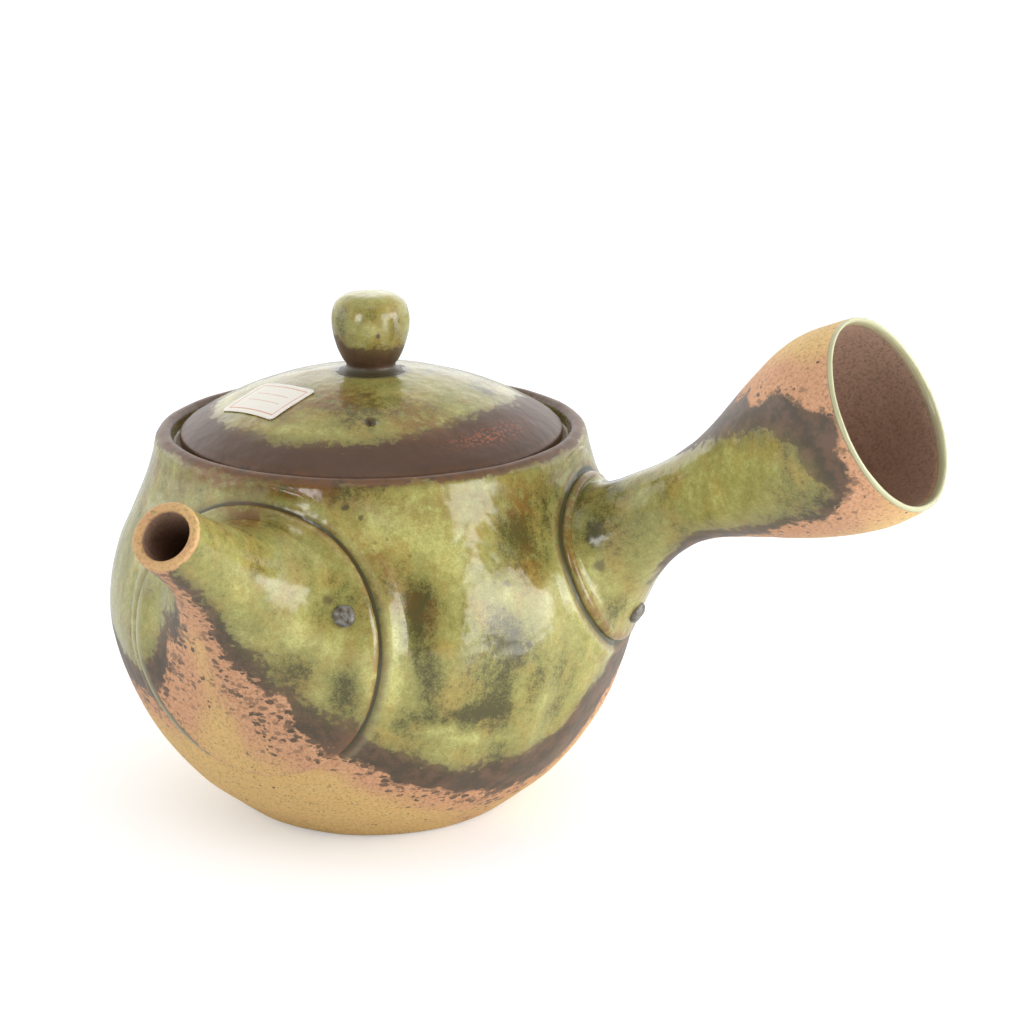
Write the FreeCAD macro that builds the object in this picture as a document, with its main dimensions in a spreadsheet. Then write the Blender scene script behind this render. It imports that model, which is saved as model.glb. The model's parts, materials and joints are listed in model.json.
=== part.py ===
import FreeCAD, Part
import math
import os
import Sketcher

# Side-handled teapot of glazed stoneware, in millimetres.
# The origin is the centre of the foot on the table, +Z is up,
# the spout points along -Y and the handle along +X.

Vector = FreeCAD.Vector

# Driving sizes: lengths in millimetres, tilts and headings in degrees
SIZES = {
    # thrown bowl of the pot
    "belly_radius": 55.0,
    "belly_height": 45.0,
    "foot_radius": 31.0,
    "foot_face_width": 6.0,
    "foot_recess": 1.2,
    "pot_wall": 3.2,
    "floor_height": 4.6,
    "neck_inset": 8.5,
    "neck_rise": 25.0,
    "rim_inset": 10.8,
    "rim_rise": 9.5,
    "rim_lip_drop": 1.9,
    "rim_lip_inner_drop": 1.4,
    "rim_width": 3.4,
    "gallery_width": 4.6,
    "gallery_depth": 3.0,
    "gallery_thickness": 2.4,
    # luted joints
    "slip_gap": 0.05,
    "flange_thickness": 1.5,
    "groove_width": 1.2,
    "ridge_width": 2.4,
    "ridge_height": 0.9,
    # spout, its root set into the bowl and its tip measured from the belly
    "spout_flange_margin": 7.9,
    "spout_flange_tilt": 2.7,
    "spout_root_inset": 8.5,
    "spout_length": 30.1,
    "spout_tip_rise": 32.0,
    "spout_tip_tilt": 37.7,
    "spout_tip_radius": 6.6,
    "spout_tip_wall": 1.6,
    "spout_wall": 3.0,
    "spout_tip_round": 0.6,
    # pierced strainer behind the spout
    "strainer_bore_radius": 16.4,
    "strainer_seat_inset": 7.0,
    "strainer_band": 4.0,
    "strainer_bulge": 7.0,
    "strainer_wall": 1.8,
    "strainer_hole_radius": 0.7,
    "strainer_hole_pitch": 2.7,
    # handle
    "handle_flange_radius": 17.3,
    "handle_flange_heading": 5.0,
    "handle_flange_tilt": 12.5,
    "handle_root_inset": 5.7,
    "handle_heading": -8.8,
    "handle_length": 61.7,
    "handle_rise": 38.2,
    "handle_mouth_tilt": 28.2,
    "handle_neck_radius": 8.6,
    "handle_bell_radius": 19.7,
    "handle_mouth_radius": 19.2,
    "handle_rim_wall": 1.4,
    "handle_wall": 2.6,
    "handle_rim_round": 0.5,
    # lid
    "lid_play": 1.4,
    "lid_edge": 2.5,
    "lid_edge_round": 0.7,
    "lid_dome_radius": 71.0,
    "lid_wall": 3.2,
    "lid_seat_width": 6.4,
    "vent_radius": 1.2,
    "vent_inset": 13.9,
    "collar_play": 1.0,
    "collar_wall": 2.4,
    "collar_depth": 8.0,
    "collar_round": 0.6,
    # knob
    "knob_base_radius": 5.5,
    "knob_neck_radius": 4.9,
    "knob_neck_rise": 0.9,
    "knob_radius": 7.9,
    "knob_widest_rise": 10.4,
    "knob_height": 16.1,
    # pellets of clay pressed onto the flanges
    "pellet_radius": 2.2,
    "pellet_edge": 0.7,
    "pellet_crown": 0.5,
    # paper label
    "label_length": 17.0,
    "label_width": 12.0,
    "label_thickness": 0.2,
    # how far a cutter runs past what it cuts
    "overrun": 3.0,
}

# Headings seen from above, in degrees from +X towards +Y
SPOUT_HEADING = -90.0
VENT_HEADING = -62.0
LABEL_HEADING = -126.3
LABEL_TURN = 14.3

# Sections of the spout from root to tip: reach, rise, tilt, girth and wall, each
# as a share; girth is 1 at the flange and 0 at the tip, and so is the wall
SPOUT_SECTION_SHARES = [
    (0.0, 0.0, 0.0, 1.0, 1.0),
    (0.22, 0.18, 0.32, 0.647, 1.0),
    (0.34, 0.39, 0.55, 0.353, 1.0),
    (0.46, 0.57, 0.78, 0.169, 1.0),
    (0.635, 0.728, 0.91, 0.06, 0.5),
    (0.817, 0.866, 0.965, 0.015, 0.5),
    (1.0, 1.0, 1.0, 0.0, 0.0),
]
# Sections of the handle's flare from the flange to the neck: length, rise, turn
# of heading, tilt and girth as shares; girth 1 is the flange and 0 the neck
FLARE_SECTION_SHARES = [
    (0.0, 0.0, 0.0, 0.0, 1.0),
    (0.052, 0.068, 0.5, 0.75, 0.6),
    (0.11, 0.16, 1.0, 1.2, 0.265),
    (0.195, 0.272, 1.0, 1.45, 0.08),
    (0.34, 0.412, 1.0, 1.1, 0.0),
]
# The bell from the neck to the mouth: length, rise, tilt and girth as shares;
# girth 0 is the neck and 1 the widest part of the bell
BELL_SECTION_SHARES = [
    (0.495, 0.532, 0.95, 0.235),
    (0.68, 0.695, 1.15, 0.69),
    (0.86, 0.868, 1.25, 0.99),
]
# Knob outline between its named sizes, as shares of its radius and heights
KNOB_FLANK_SHARES = (0.86, 0.42)
KNOB_SHOULDER_SHARES = (0.81, 0.893)
KNOB_SHOULDER_BEND_SHARE = 1.25
# Each pellet's place across and up its flange, as shares of the flange's radius
SPOUT_PELLET_SHARES = (0.79, 0.342)
HANDLE_PELLET_SHARES = (-0.08, -0.7)
# How far the label lies from the knob towards the lid's edge
LABEL_PLACE_SHARE = 0.473
LIP_TOP_SHARE = 0.5
HALF_SHARE = 0.5
STRAINER_EDGE_SHARE = 0.86


class Term:
    """A size that carries both its value and the expression that gives it."""

    def __init__(self, text, value):
        self.text = text
        self.value = value

    def __float__(self):
        return float(self.value)

    def joined(self, sign, other, value):
        text = "(%s %s %s)" % (self.text, sign, as_term(other).text)
        return Term(text, value)

    def __add__(self, other):
        return self.joined("+", other, float(self) + float(other))

    def __sub__(self, other):
        return self.joined("-", other, float(self) - float(other))

    def __mul__(self, other):
        return self.joined("*", other, float(self) * float(other))

    def __truediv__(self, other):
        return self.joined("/", other, float(self) / float(other))


def as_term(value):
    """Plain numbers become terms, and terms stay as they are."""
    if isinstance(value, Term):
        return value
    return Term(repr(float(value)), float(value))


def root(term):
    """Square root of a term."""
    return Term("sqrt(%s)" % term.text, math.sqrt(float(term)))


def blend(start, end, share):
    """The term that lies a share of the way from start to end."""
    return start + (end - start) * share


doc = FreeCAD.newDocument("Teapot")


def make_sheet():
    """Write the driving sizes to the spreadsheet, one row each."""
    sheet = doc.addObject("Spreadsheet::Sheet", "Sizes")
    for row, (alias, value) in enumerate(SIZES.items(), start=1):
        sheet.set("A%d" % row, alias)
        sheet.set("B%d" % row, str(value))
        sheet.setAlias("B%d" % row, alias)
    doc.recompute()
    return sheet


class Sizes:
    """Every named size as a term read from the sheet."""

    def __init__(self, sheet):
        for alias in SIZES:
            setattr(self, alias, Term("Sizes." + alias, float(getattr(sheet, alias))))


s = Sizes(make_sheet())


# Sketching

def arc_centre(start, end, radius, side):
    """Centre of the arc of this radius between two points, on the given side."""
    chord = end - start
    reach = math.sqrt(max(float(radius) ** 2 - (chord.Length / 2) ** 2, 0.0))
    across = Vector(-chord.y, chord.x, 0).normalize()
    return (start + end) * HALF_SHARE + across * (reach * side)


def arc_edge(start, end, bend):
    """Sketch arc from start to end, either through a point or of a radius."""
    if bend[0] == "through":
        middle = Vector(float(bend[1][0]), float(bend[1][1]), 0)
        return Part.Arc(start, middle, end)
    centre = arc_centre(start, end, bend[1], bend[2])
    outward = ((start + end) * HALF_SHARE - centre).normalize()
    return Part.Arc(start, centre + outward * float(bend[1]), end)


def fix_point(sketch, index, position, point, name):
    """Tie a sketch point to the axes by the expressions of its two places."""
    for direction, axis, place in (("X", -2, point[0]), ("Y", -1, point[1])):
        if float(place) == 0.0:
            sketch.addConstraint(Sketcher.Constraint("PointOnObject", index, position, axis))
            continue
        kind = "Distance" + direction
        number = sketch.addConstraint(Sketcher.Constraint(kind, index, position, float(place)))
        label = name + direction.lower()
        sketch.renameConstraint(number, label)
        sketch.setExpression("Constraints." + label, as_term(place).text)


def draw_outline(sketch, corners, bends):
    """Closed outline through the corners, with bends[i] for the run after corner i."""
    places = [Vector(float(x), float(y), 0) for x, y in corners]
    count = len(corners)
    ends = []
    for i in range(count):
        start, end = places[i], places[(i + 1) % count]
        bend = bends.get(i)
        if bend is None:
            index = sketch.addGeometry(Part.LineSegment(start, end), False)
            ends.append((index, 1, 2))
            continue
        index = sketch.addGeometry(arc_edge(start, end, bend), False)
        swapped = (sketch.getPoint(index, 1) - start).Length > (sketch.getPoint(index, 2) - start).Length
        ends.append((index, 2, 1) if swapped else (index, 1, 2))
    for i in range(count):
        here, onward = ends[i], ends[(i + 1) % count]
        sketch.addConstraint(Sketcher.Constraint("Coincident", here[0], here[2], onward[0], onward[1]))
    for i in range(count):
        fix_point(sketch, ends[i][0], ends[i][1], corners[i], "corner%d" % i)
        bend = bends.get(i)
        if bend is None:
            continue
        if bend[0] == "through":
            middle = Vector(float(bend[1][0]), float(bend[1][1]), 0)
            point = sketch.addGeometry(Part.Point(middle), True)
            sketch.addConstraint(Sketcher.Constraint("PointOnObject", point, 1, ends[i][0]))
            fix_point(sketch, point, 1, bend[1], "through%d" % i)
        else:
            number = sketch.addConstraint(Sketcher.Constraint("Radius", ends[i][0], float(bend[1])))
            sketch.renameConstraint(number, "bend%d" % i)
            sketch.setExpression("Constraints.bend%d" % i, bend[1].text)


def turned_body(label, corners, bends):
    """A body thrown on the wheel: an outline in the XZ plane turned about Z."""
    body = doc.addObject("PartDesign::Body", label)
    body.Label = label
    planes = [f for f in body.Origin.OriginFeatures if f.Role == "XZ_Plane"]
    sketch = body.newObject("Sketcher::SketchObject", label + "_outline")
    sketch.AttachmentSupport = [(planes[0], "")]
    sketch.MapMode = "FlatFace"
    draw_outline(sketch, corners, bends)
    turning = body.newObject("PartDesign::Revolution", label + "_turning")
    turning.Profile = sketch
    turning.ReferenceAxis = (sketch, ["V_Axis"])
    turning.Angle = 360
    body.Tip = turning
    return body


# Frames and tools

def heading_vector(heading, tilt=0.0):
    """Unit vector at a heading about Z and a tilt above the horizontal."""
    level = math.cos(math.radians(tilt))
    turn = math.radians(heading)
    return Vector(level * math.cos(turn), level * math.sin(turn), math.sin(math.radians(tilt)))


def facing(place, heading, tilt):
    """Placement whose own Z axis points along a heading and tilt, its X axis level."""
    forward = heading_vector(heading, tilt)
    level = Vector(0, 0, 1).cross(heading_vector(heading))
    upward = forward.cross(level)
    return FreeCAD.Placement(place, FreeCAD.Rotation(level, upward, forward, "ZXY"))


def bar(name, radius, length, placement):
    """Round cutter or core of a named radius and length."""
    tool = doc.addObject("Part::Cylinder", name)
    tool.setExpression("Radius", radius.text)
    tool.setExpression("Height", length.text)
    tool.Placement = placement
    return tool


def cut(name, base, tool):
    """Base less tool."""
    result = doc.addObject("Part::Cut", name)
    result.Base = base
    result.Tool = tool
    return result


def fused(name, *shapes):
    """All shapes as one."""
    result = doc.addObject("Part::MultiFuse", name)
    result.Shapes = list(shapes)
    return result


def common(name, *shapes):
    """What all shapes share."""
    result = doc.addObject("Part::MultiCommon", name)
    result.Shapes = list(shapes)
    return result


def rounded(name, base, radius, wanted):
    """Round the edges of base that the wanted test picks."""
    doc.recompute([base])
    result = doc.addObject("Part::Fillet", name)
    result.Base = base
    picked = [i for i, edge in enumerate(base.Shape.Edges, start=1) if wanted(edge)]
    result.Edges = [(i, float(radius), float(radius)) for i in picked]
    return result


# Places on the pot that several pieces share
neck_radius = s.belly_radius - s.neck_inset
neck_height = s.belly_height + s.neck_rise
rim_radius = s.belly_radius - s.rim_inset
rim_height = neck_height + s.rim_rise
gallery_radius = rim_radius - s.rim_width
mouth_radius = gallery_radius - s.gallery_width
ledge_height = rim_height - s.gallery_depth
spout_flange_radius = s.neck_rise + s.rim_rise - s.spout_flange_margin
belly_centre = Vector(0, 0, float(s.belly_height))

# Outline of the pot's outer face, shared by the bowl and all that is luted to it
low_bend = ((s.belly_radius - s.foot_radius) * (s.belly_radius - s.foot_radius)
            + s.belly_height * s.belly_height) / ((s.belly_radius - s.foot_radius) * 2)
high_bend = (s.neck_inset * s.neck_inset + s.neck_rise * s.neck_rise) / (s.neck_inset * 2)


def girth_at(height, bend, growth):
    """Radius of the outer face at a height, grown outwards by growth."""
    drop = height - s.belly_height
    swollen = bend + growth
    return s.belly_radius - bend + root(swollen * swollen - drop * drop)


def envelope(name, growth):
    """Solid block of the pot's outer form, grown outwards by growth."""
    top = rim_height + s.overrun
    corners = [
        (0, 0),
        (girth_at(as_term(0.0), low_bend, growth), 0),
        (s.belly_radius + growth, s.belly_height),
        (girth_at(neck_height, high_bend, growth), neck_height),
        (rim_radius + growth, rim_height - s.rim_lip_drop),
        (rim_radius + growth, top),
        (0, top),
    ]
    bends = {1: ("radius", low_bend + growth, 1), 2: ("radius", high_bend + growth, 1)}
    sketch = doc.addObject("Sketcher::SketchObject", name + "_outline")
    sketch.Placement = FreeCAD.Placement(Vector(0, 0, 0), FreeCAD.Rotation(Vector(1, 0, 0), 90))
    draw_outline(sketch, corners, bends)
    block = doc.addObject("Part::Revolution", name)
    block.Source = sketch
    block.Axis = Vector(0, 0, 1)
    block.Base = Vector(0, 0, 0)
    block.Angle = 360
    block.Solid = True
    return block


outer_face = envelope("outer_face", s.slip_gap)
flange_face = envelope("flange_face", s.flange_thickness)
ridge_face = envelope("ridge_face", s.ridge_height)


# Thrown bowl

def make_pot_body():
    """Bowl with a trimmed foot, a gallery for the lid and the bore behind the spout."""
    wall = s.pot_wall
    zero = as_term(0.0)
    lip_middle = blend(gallery_radius, rim_radius, LIP_TOP_SHARE)
    foot_inner = s.foot_radius - s.foot_face_width
    corners = [
        (0, s.foot_recess),
        (foot_inner - s.foot_recess, s.foot_recess),
        (foot_inner, 0),
        (s.foot_radius, 0),
        (s.belly_radius, s.belly_height),
        (neck_radius, neck_height),
        (rim_radius, rim_height - s.rim_lip_drop),
        (gallery_radius, rim_height - s.rim_lip_inner_drop),
        (gallery_radius, ledge_height),
        (mouth_radius, ledge_height),
        (mouth_radius, ledge_height - s.gallery_thickness),
        (girth_at(neck_height, high_bend, zero - wall), neck_height),
        (s.belly_radius - wall, s.belly_height),
        (girth_at(s.floor_height, low_bend, zero - wall), s.floor_height),
        (0, s.floor_height),
    ]
    bends = {
        3: ("radius", low_bend, 1),
        4: ("radius", high_bend, 1),
        6: ("through", (lip_middle, rim_height)),
        11: ("radius", high_bend - wall, -1),
        12: ("radius", low_bend - wall, -1),
    }
    bowl = turned_body("thrown_bowl", corners, bends)
    place = facing(belly_centre, SPOUT_HEADING, float(s.spout_flange_tilt))
    bore = bar("strainer_bore", s.strainer_bore_radius, s.belly_radius + s.overrun, place)
    return cut("pot_body", bowl, bore)


# Tubes luted to the bowl: spout and handle

def ring(name, radius, place, heading, tilt):
    """One round section of a tube."""
    circle = doc.addObject("Part::Circle", name)
    circle.setExpression("Radius", radius.text)
    circle.Placement = facing(place, heading, tilt)
    return circle


def lofted(name, sections):
    """Solid through round sections, each a radius, a place, a heading and a tilt."""
    rings = [ring("%s_%d" % (name, i), *section) for i, section in enumerate(sections)]
    loft = doc.addObject("Part::Loft", name)
    loft.Sections = rings
    loft.Solid = True
    loft.Ruled = False
    return loft


def narrowed(sections, walls):
    """Bore sections inside skin sections, with a straight run out past the tip."""
    bore = []
    for (radius, place, heading, tilt), wall in zip(sections, walls):
        bore.append((radius - wall, place, heading, tilt))
    radius, place, heading, tilt = bore[-1]
    beyond = place + heading_vector(heading, tilt) * float(s.overrun)
    return bore + [(radius, beyond, heading, tilt)]


def near(place, reach):
    """Test for edges that lie within reach of a place."""
    def wanted(edge):
        return (edge.BoundBox.Center - place).Length < float(reach)
    return wanted


def luted_tube(label, skin, bore, flange_radius, flange_placement):
    """Hollow tube with a flange that follows the bowl's outer face."""
    core = bar(label + "_core", flange_radius, s.belly_radius + s.overrun, flange_placement)
    flange = common(label + "_flange", flange_face, core)
    mass = fused(label + "_mass", flange, lofted(label + "_skin", skin))
    seated = cut(label + "_seated", mass, outer_face)
    hollow = cut(label + "_hollow", seated, lofted(label + "_bore", bore))
    return mass, hollow


def joint_ridge(label, flange_radius, flange_placement):
    """Low ridge of clay pressed round a flange, across a narrow groove."""
    inner = flange_radius + s.groove_width
    length = s.belly_radius + s.overrun
    disc = bar(label + "_disc", inner + s.ridge_width, length, flange_placement)
    hole = bar(label + "_hole", inner, length, flange_placement)
    raised = common(label + "_raised", ridge_face, disc)
    open_ring = cut(label + "_open", raised, hole)
    return cut(label, open_ring, outer_face)


def spout_sections():
    """Round sections of the spout's skin from the bowl to the tip."""
    root_reach = s.belly_radius - s.spout_root_inset
    root_height = s.belly_height + root_reach * math.tan(math.radians(float(s.spout_flange_tilt)))
    tip_height = s.belly_height + s.spout_tip_rise
    sections = []
    for reach, rise, lean, girth, wall in SPOUT_SECTION_SHARES:
        out = float(root_reach + s.spout_length * reach)
        height = float(blend(root_height, tip_height, rise))
        tilt = float(blend(s.spout_flange_tilt, s.spout_tip_tilt, lean))
        radius = blend(s.spout_tip_radius, spout_flange_radius, girth)
        place = heading_vector(SPOUT_HEADING) * out + Vector(0, 0, height)
        sections.append((radius, place, SPOUT_HEADING, tilt))
    return sections


def spout_bore_sections(skin):
    """Channel inside the spout, which opens as wide as the strainer at its root."""
    walls = [blend(s.spout_tip_wall, s.spout_wall, shares[-1]) for shares in SPOUT_SECTION_SHARES]
    bore = narrowed(skin, walls)
    wide = s.strainer_bore_radius
    bore[0] = (wide,) + bore[0][1:]
    bore[1] = (blend(bore[1][0], wide, HALF_SHARE),) + bore[1][1:]
    return bore


def make_spout():
    """Short tapering spout on its broad flange."""
    skin = spout_sections()
    place = facing(belly_centre, SPOUT_HEADING, float(s.spout_flange_tilt))
    mass, hollow = luted_tube("spout", skin, spout_bore_sections(skin), spout_flange_radius, place)
    tip = near(skin[-1][1], s.spout_tip_round)
    spout = rounded("spout", hollow, s.spout_tip_round, tip)
    return mass, spout


def handle_sections():
    """Round sections of the handle's skin: flare, neck, bell and mouth."""
    heading = float(s.handle_flange_heading)
    turn = float(s.handle_heading) - heading
    lift = math.tan(math.radians(float(s.handle_flange_tilt)))
    root_reach = float(s.belly_radius - s.handle_root_inset)
    root_place = belly_centre + heading_vector(heading) * root_reach + Vector(0, 0, root_reach * lift)
    along = heading_vector(float(s.handle_heading))
    start_tilt = s.handle_flange_tilt
    end_tilt = s.handle_mouth_tilt

    def section(radius, length, rise, turned, lean):
        place = root_place + along * float(s.handle_length * length)
        place += Vector(0, 0, float(s.handle_rise * rise))
        return (radius, place, heading + turn * turned, float(blend(start_tilt, end_tilt, lean)))

    sections = []
    for length, rise, turned, lean, girth in FLARE_SECTION_SHARES:
        radius = blend(s.handle_neck_radius, s.handle_flange_radius, girth)
        sections.append(section(radius, length, rise, turned, lean))
    for length, rise, lean, girth in BELL_SECTION_SHARES:
        radius = blend(s.handle_neck_radius, s.handle_bell_radius, girth)
        sections.append(section(radius, length, rise, 1.0, lean))
    sections.append(section(s.handle_mouth_radius, 1.0, 1.0, 1.0, 1.0))
    return sections


def make_handle():
    """Hollow side handle that flares from its neck to an open bell."""
    skin = handle_sections()
    walls = [s.handle_wall] * (len(skin) - 1) + [s.handle_rim_wall]
    bore = narrowed(skin, walls)
    place = facing(belly_centre, float(s.handle_flange_heading), float(s.handle_flange_tilt))
    mass, hollow = luted_tube("handle", skin, bore, s.handle_flange_radius, place)
    mouth = near(skin[-1][1], s.handle_rim_round)
    handle = rounded("handle", hollow, s.handle_rim_round, mouth)
    return mass, handle


# Strainer

def strainer_holes(bulge_radius):
    """Small bores through the dome, on rings about its middle."""
    centre = Vector(0, 0, float(bulge_radius - s.strainer_bulge))
    wall = float(s.strainer_wall)
    inside = float(bulge_radius) - 2 * wall
    radius = float(s.strainer_hole_radius)
    edge = math.asin(float(s.strainer_bore_radius) / float(bulge_radius)) * STRAINER_EDGE_SHARE
    step = float(s.strainer_hole_pitch) / float(bulge_radius)
    bores = []
    for ring_number in range(int(edge / step) + 1):
        lean = ring_number * step
        across = math.sin(lean)
        count = max(1, int(2 * math.pi * across / step))
        for i in range(count):
            turn = 2 * math.pi * i / count
            line = Vector(across * math.cos(turn), across * math.sin(turn), -math.cos(lean))
            bores.append(Part.makeCylinder(radius, 3 * wall, centre + line * inside, line))
    tool = doc.addObject("Part::Feature", "strainer_holes")
    tool.Shape = Part.makeCompound(bores)
    return tool


def make_strainer():
    """Pierced dome of thin clay that bulges into the pot behind the spout."""
    band_radius = s.strainer_bore_radius - s.slip_gap
    inner_radius = band_radius - s.strainer_wall
    bulge_radius = (band_radius * band_radius + s.strainer_bulge * s.strainer_bulge) / (s.strainer_bulge * 2)
    hollow_depth = s.strainer_bulge - s.strainer_wall
    zero = as_term(0.0)
    corners = [
        (0, zero - s.strainer_bulge),
        (band_radius, 0),
        (band_radius, s.strainer_band),
        (inner_radius, s.strainer_band),
        (inner_radius, 0),
        (0, zero - hollow_depth),
    ]
    hollow_bend = (inner_radius * inner_radius + hollow_depth * hollow_depth) / (hollow_depth * 2)
    bends = {0: ("radius", bulge_radius, 1), 4: ("radius", hollow_bend, -1)}
    dome = turned_body("strainer_dome", corners, bends)
    strainer = cut("strainer_screen", dome, strainer_holes(bulge_radius))
    tilt = float(s.spout_flange_tilt)
    reach = heading_vector(SPOUT_HEADING, tilt) * float(s.belly_radius - s.strainer_seat_inset)
    strainer.Placement = facing(belly_centre + reach, SPOUT_HEADING, tilt)
    return strainer


# Lid, its collar and its knob

lid_radius = gallery_radius - s.lid_play
lid_shoulder = ledge_height + s.lid_edge
dome_centre = lid_shoulder - root(s.lid_dome_radius * s.lid_dome_radius - lid_radius * lid_radius)
knob_seat = dome_centre + root(s.lid_dome_radius * s.lid_dome_radius - s.knob_base_radius * s.knob_base_radius)


def make_lid():
    """Shallow domed lid with a flat seat below, a flat spot for the knob and a vent."""
    inner_bend = s.lid_dome_radius - s.lid_wall
    hollow_radius = lid_radius - s.lid_seat_width
    hollow_edge = dome_centre + root(inner_bend * inner_bend - hollow_radius * hollow_radius)
    corners = [
        (0, dome_centre + inner_bend),
        (hollow_radius, hollow_edge),
        (hollow_radius, ledge_height),
        (lid_radius - s.lid_edge_round, ledge_height),
        (lid_radius, ledge_height + s.lid_edge_round),
        (lid_radius, lid_shoulder),
        (s.knob_base_radius, knob_seat),
        (0, knob_seat),
    ]
    bends = {0: ("radius", inner_bend, -1), 5: ("radius", s.lid_dome_radius, 1)}
    dome = turned_body("lid_dome", corners, bends)
    out = heading_vector(VENT_HEADING) * float(lid_radius - s.vent_inset)
    place = FreeCAD.Placement(out + Vector(0, 0, float(ledge_height)), FreeCAD.Rotation())
    vent = bar("vent_bore", s.vent_radius, s.lid_dome_radius, place)
    return cut("lid", dome, vent)


def make_lid_collar():
    """Ring under the lid that keeps it centred in the mouth."""
    outer = mouth_radius - s.collar_play
    inner = outer - s.collar_wall
    bottom = ledge_height - s.collar_depth
    corners = [
        (inner, ledge_height),
        (inner, bottom + s.collar_round),
        (inner + s.collar_round, bottom),
        (outer - s.collar_round, bottom),
        (outer, bottom + s.collar_round),
        (outer, ledge_height),
    ]
    return turned_body("lid_collar", corners, {})


def make_knob():
    """Rounded knob on a short waist."""
    flank = (s.knob_radius * KNOB_FLANK_SHARES[0], knob_seat + s.knob_widest_rise * KNOB_FLANK_SHARES[1])
    shoulder_radius = s.knob_radius * KNOB_SHOULDER_SHARES[0]
    shoulder_height = s.knob_height * KNOB_SHOULDER_SHARES[1]
    crown_drop = s.knob_height - shoulder_height
    crown_bend = (shoulder_radius * shoulder_radius + crown_drop * crown_drop) / (crown_drop * 2)
    shoulder_bend = shoulder_height - s.knob_widest_rise
    corners = [
        (0, knob_seat),
        (s.knob_base_radius, knob_seat),
        (s.knob_neck_radius, knob_seat + s.knob_neck_rise),
        (s.knob_radius, knob_seat + s.knob_widest_rise),
        (shoulder_radius, knob_seat + shoulder_height),
        (0, knob_seat + s.knob_height),
    ]
    bends = {
        2: ("through", flank),
        3: ("radius", shoulder_bend * KNOB_SHOULDER_BEND_SHARE, 1),
        4: ("radius", crown_bend, 1),
    }
    return turned_body("knob", corners, bends)


# Trim

def outer_point(shape, start, line_of_sight):
    """Where a line from inside a solid leaves it for the last time, and the normal there."""
    beyond = s.belly_radius + s.handle_length
    line = Part.makeLine(start, start + line_of_sight * float(beyond))
    inside = shape.common(line)
    point = max((v.Point for v in inside.Vertexes), key=lambda p: p.distanceToPoint(start))
    face = min(shape.Faces, key=lambda f: f.distToShape(Part.Vertex(point))[0])
    u, v = face.Surface.parameter(point)
    return point, face.normalAt(u, v)


def make_pellet(label, mass, flange_radius, flange_placement, shares):
    """Small button of clay pressed onto a tube inside the edge of its flange."""
    edge = s.pellet_edge
    crown = s.pellet_crown
    crown_bend = (s.pellet_radius * s.pellet_radius + crown * crown) / (crown * 2)
    zero = as_term(0.0)
    corners = [
        (0, zero - s.pellet_radius),
        (s.pellet_radius, zero - s.pellet_radius),
        (s.pellet_radius, edge),
        (0, edge + crown),
    ]
    button = turned_body(label + "_button", corners, {2: ("radius", crown_bend, 1)})
    doc.recompute([mass])
    across, upward = [float(flange_radius * share) for share in shares]
    start = flange_placement.multVec(Vector(across, upward, 0))
    forward = flange_placement.Rotation.multVec(Vector(0, 0, 1))
    point, outward = outer_point(mass.Shape, start, forward)
    turn = math.degrees(math.atan2(outward.y, outward.x))
    lean = math.degrees(math.asin(outward.z))
    button.Placement = facing(point, turn, lean)
    return cut(label, button, mass)


def make_label():
    """Thin blank paper label that follows the dome of the lid."""
    inner_bend = s.lid_dome_radius + s.slip_gap
    outer_bend = inner_bend + s.label_thickness
    shells = []
    for name, bend in (("label_back", inner_bend), ("label_front", outer_bend)):
        ball = doc.addObject("Part::Sphere", name)
        ball.setExpression("Radius", bend.text)
        ball.Placement = FreeCAD.Placement(Vector(0, 0, float(dome_centre)), FreeCAD.Rotation())
        shells.append(ball)
    sheet = cut("label_sheet", shells[1], shells[0])
    block = doc.addObject("Part::Box", "label_block")
    block.setExpression("Length", s.label_length.text)
    block.setExpression("Width", s.label_width.text)
    block.setExpression("Height", s.lid_dome_radius.text)
    turn = FreeCAD.Rotation(Vector(0, 0, 1), LABEL_TURN)
    corner = Vector(float(s.label_length) / -2, float(s.label_width) / -2, 0)
    middle = heading_vector(LABEL_HEADING) * float(blend(s.knob_radius, lid_radius, LABEL_PLACE_SHARE))
    middle += Vector(0, 0, float(ledge_height))
    block.Placement = FreeCAD.Placement(middle + turn.multVec(corner), turn)
    return common("paper_label", sheet, block)


def check_and_write(parts):
    """Stop if anything failed, then write each sub-part to its own file."""
    doc.recompute()
    for thing in doc.Objects:
        if "Invalid" in thing.State or "Error" in thing.State:
            raise RuntimeError("%s failed" % thing.Name)
    os.makedirs("parts", exist_ok=True)
    for label, thing in parts.items():
        thing.Label = label
        shape = thing.Shape
        if shape.isNull() or not shape.isValid() or len(shape.Solids) != 1:
            raise RuntimeError("%s has no single valid solid" % label)
        print("%-16s volume %9.1f  box %s" % (label, shape.Volume, shape.BoundBox))
    for label, thing in parts.items():
        thing.Shape.exportStep("parts/%s.step" % label)


def main():
    spout_place = facing(belly_centre, SPOUT_HEADING, float(s.spout_flange_tilt))
    handle_place = facing(belly_centre, float(s.handle_flange_heading), float(s.handle_flange_tilt))
    spout_mass, spout = make_spout()
    handle_mass, handle = make_handle()
    parts = {
        "pot_body": make_pot_body(),
        "spout": spout,
        "spout_joint": joint_ridge("spout_joint", spout_flange_radius, spout_place),
        "strainer_screen": make_strainer(),
        "handle": handle,
        "handle_joint": joint_ridge("handle_joint", s.handle_flange_radius, handle_place),
        "spout_pellet": make_pellet("spout_pellet", spout_mass, spout_flange_radius,
                                    spout_place, SPOUT_PELLET_SHARES),
        "handle_pellet": make_pellet("handle_pellet", handle_mass, s.handle_flange_radius,
                                     handle_place, HANDLE_PELLET_SHARES),
        "lid": make_lid(),
        "lid_collar": make_lid_collar(),
        "knob": make_knob(),
        "paper_label": make_label(),
    }
    check_and_write(parts)


main()
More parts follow.
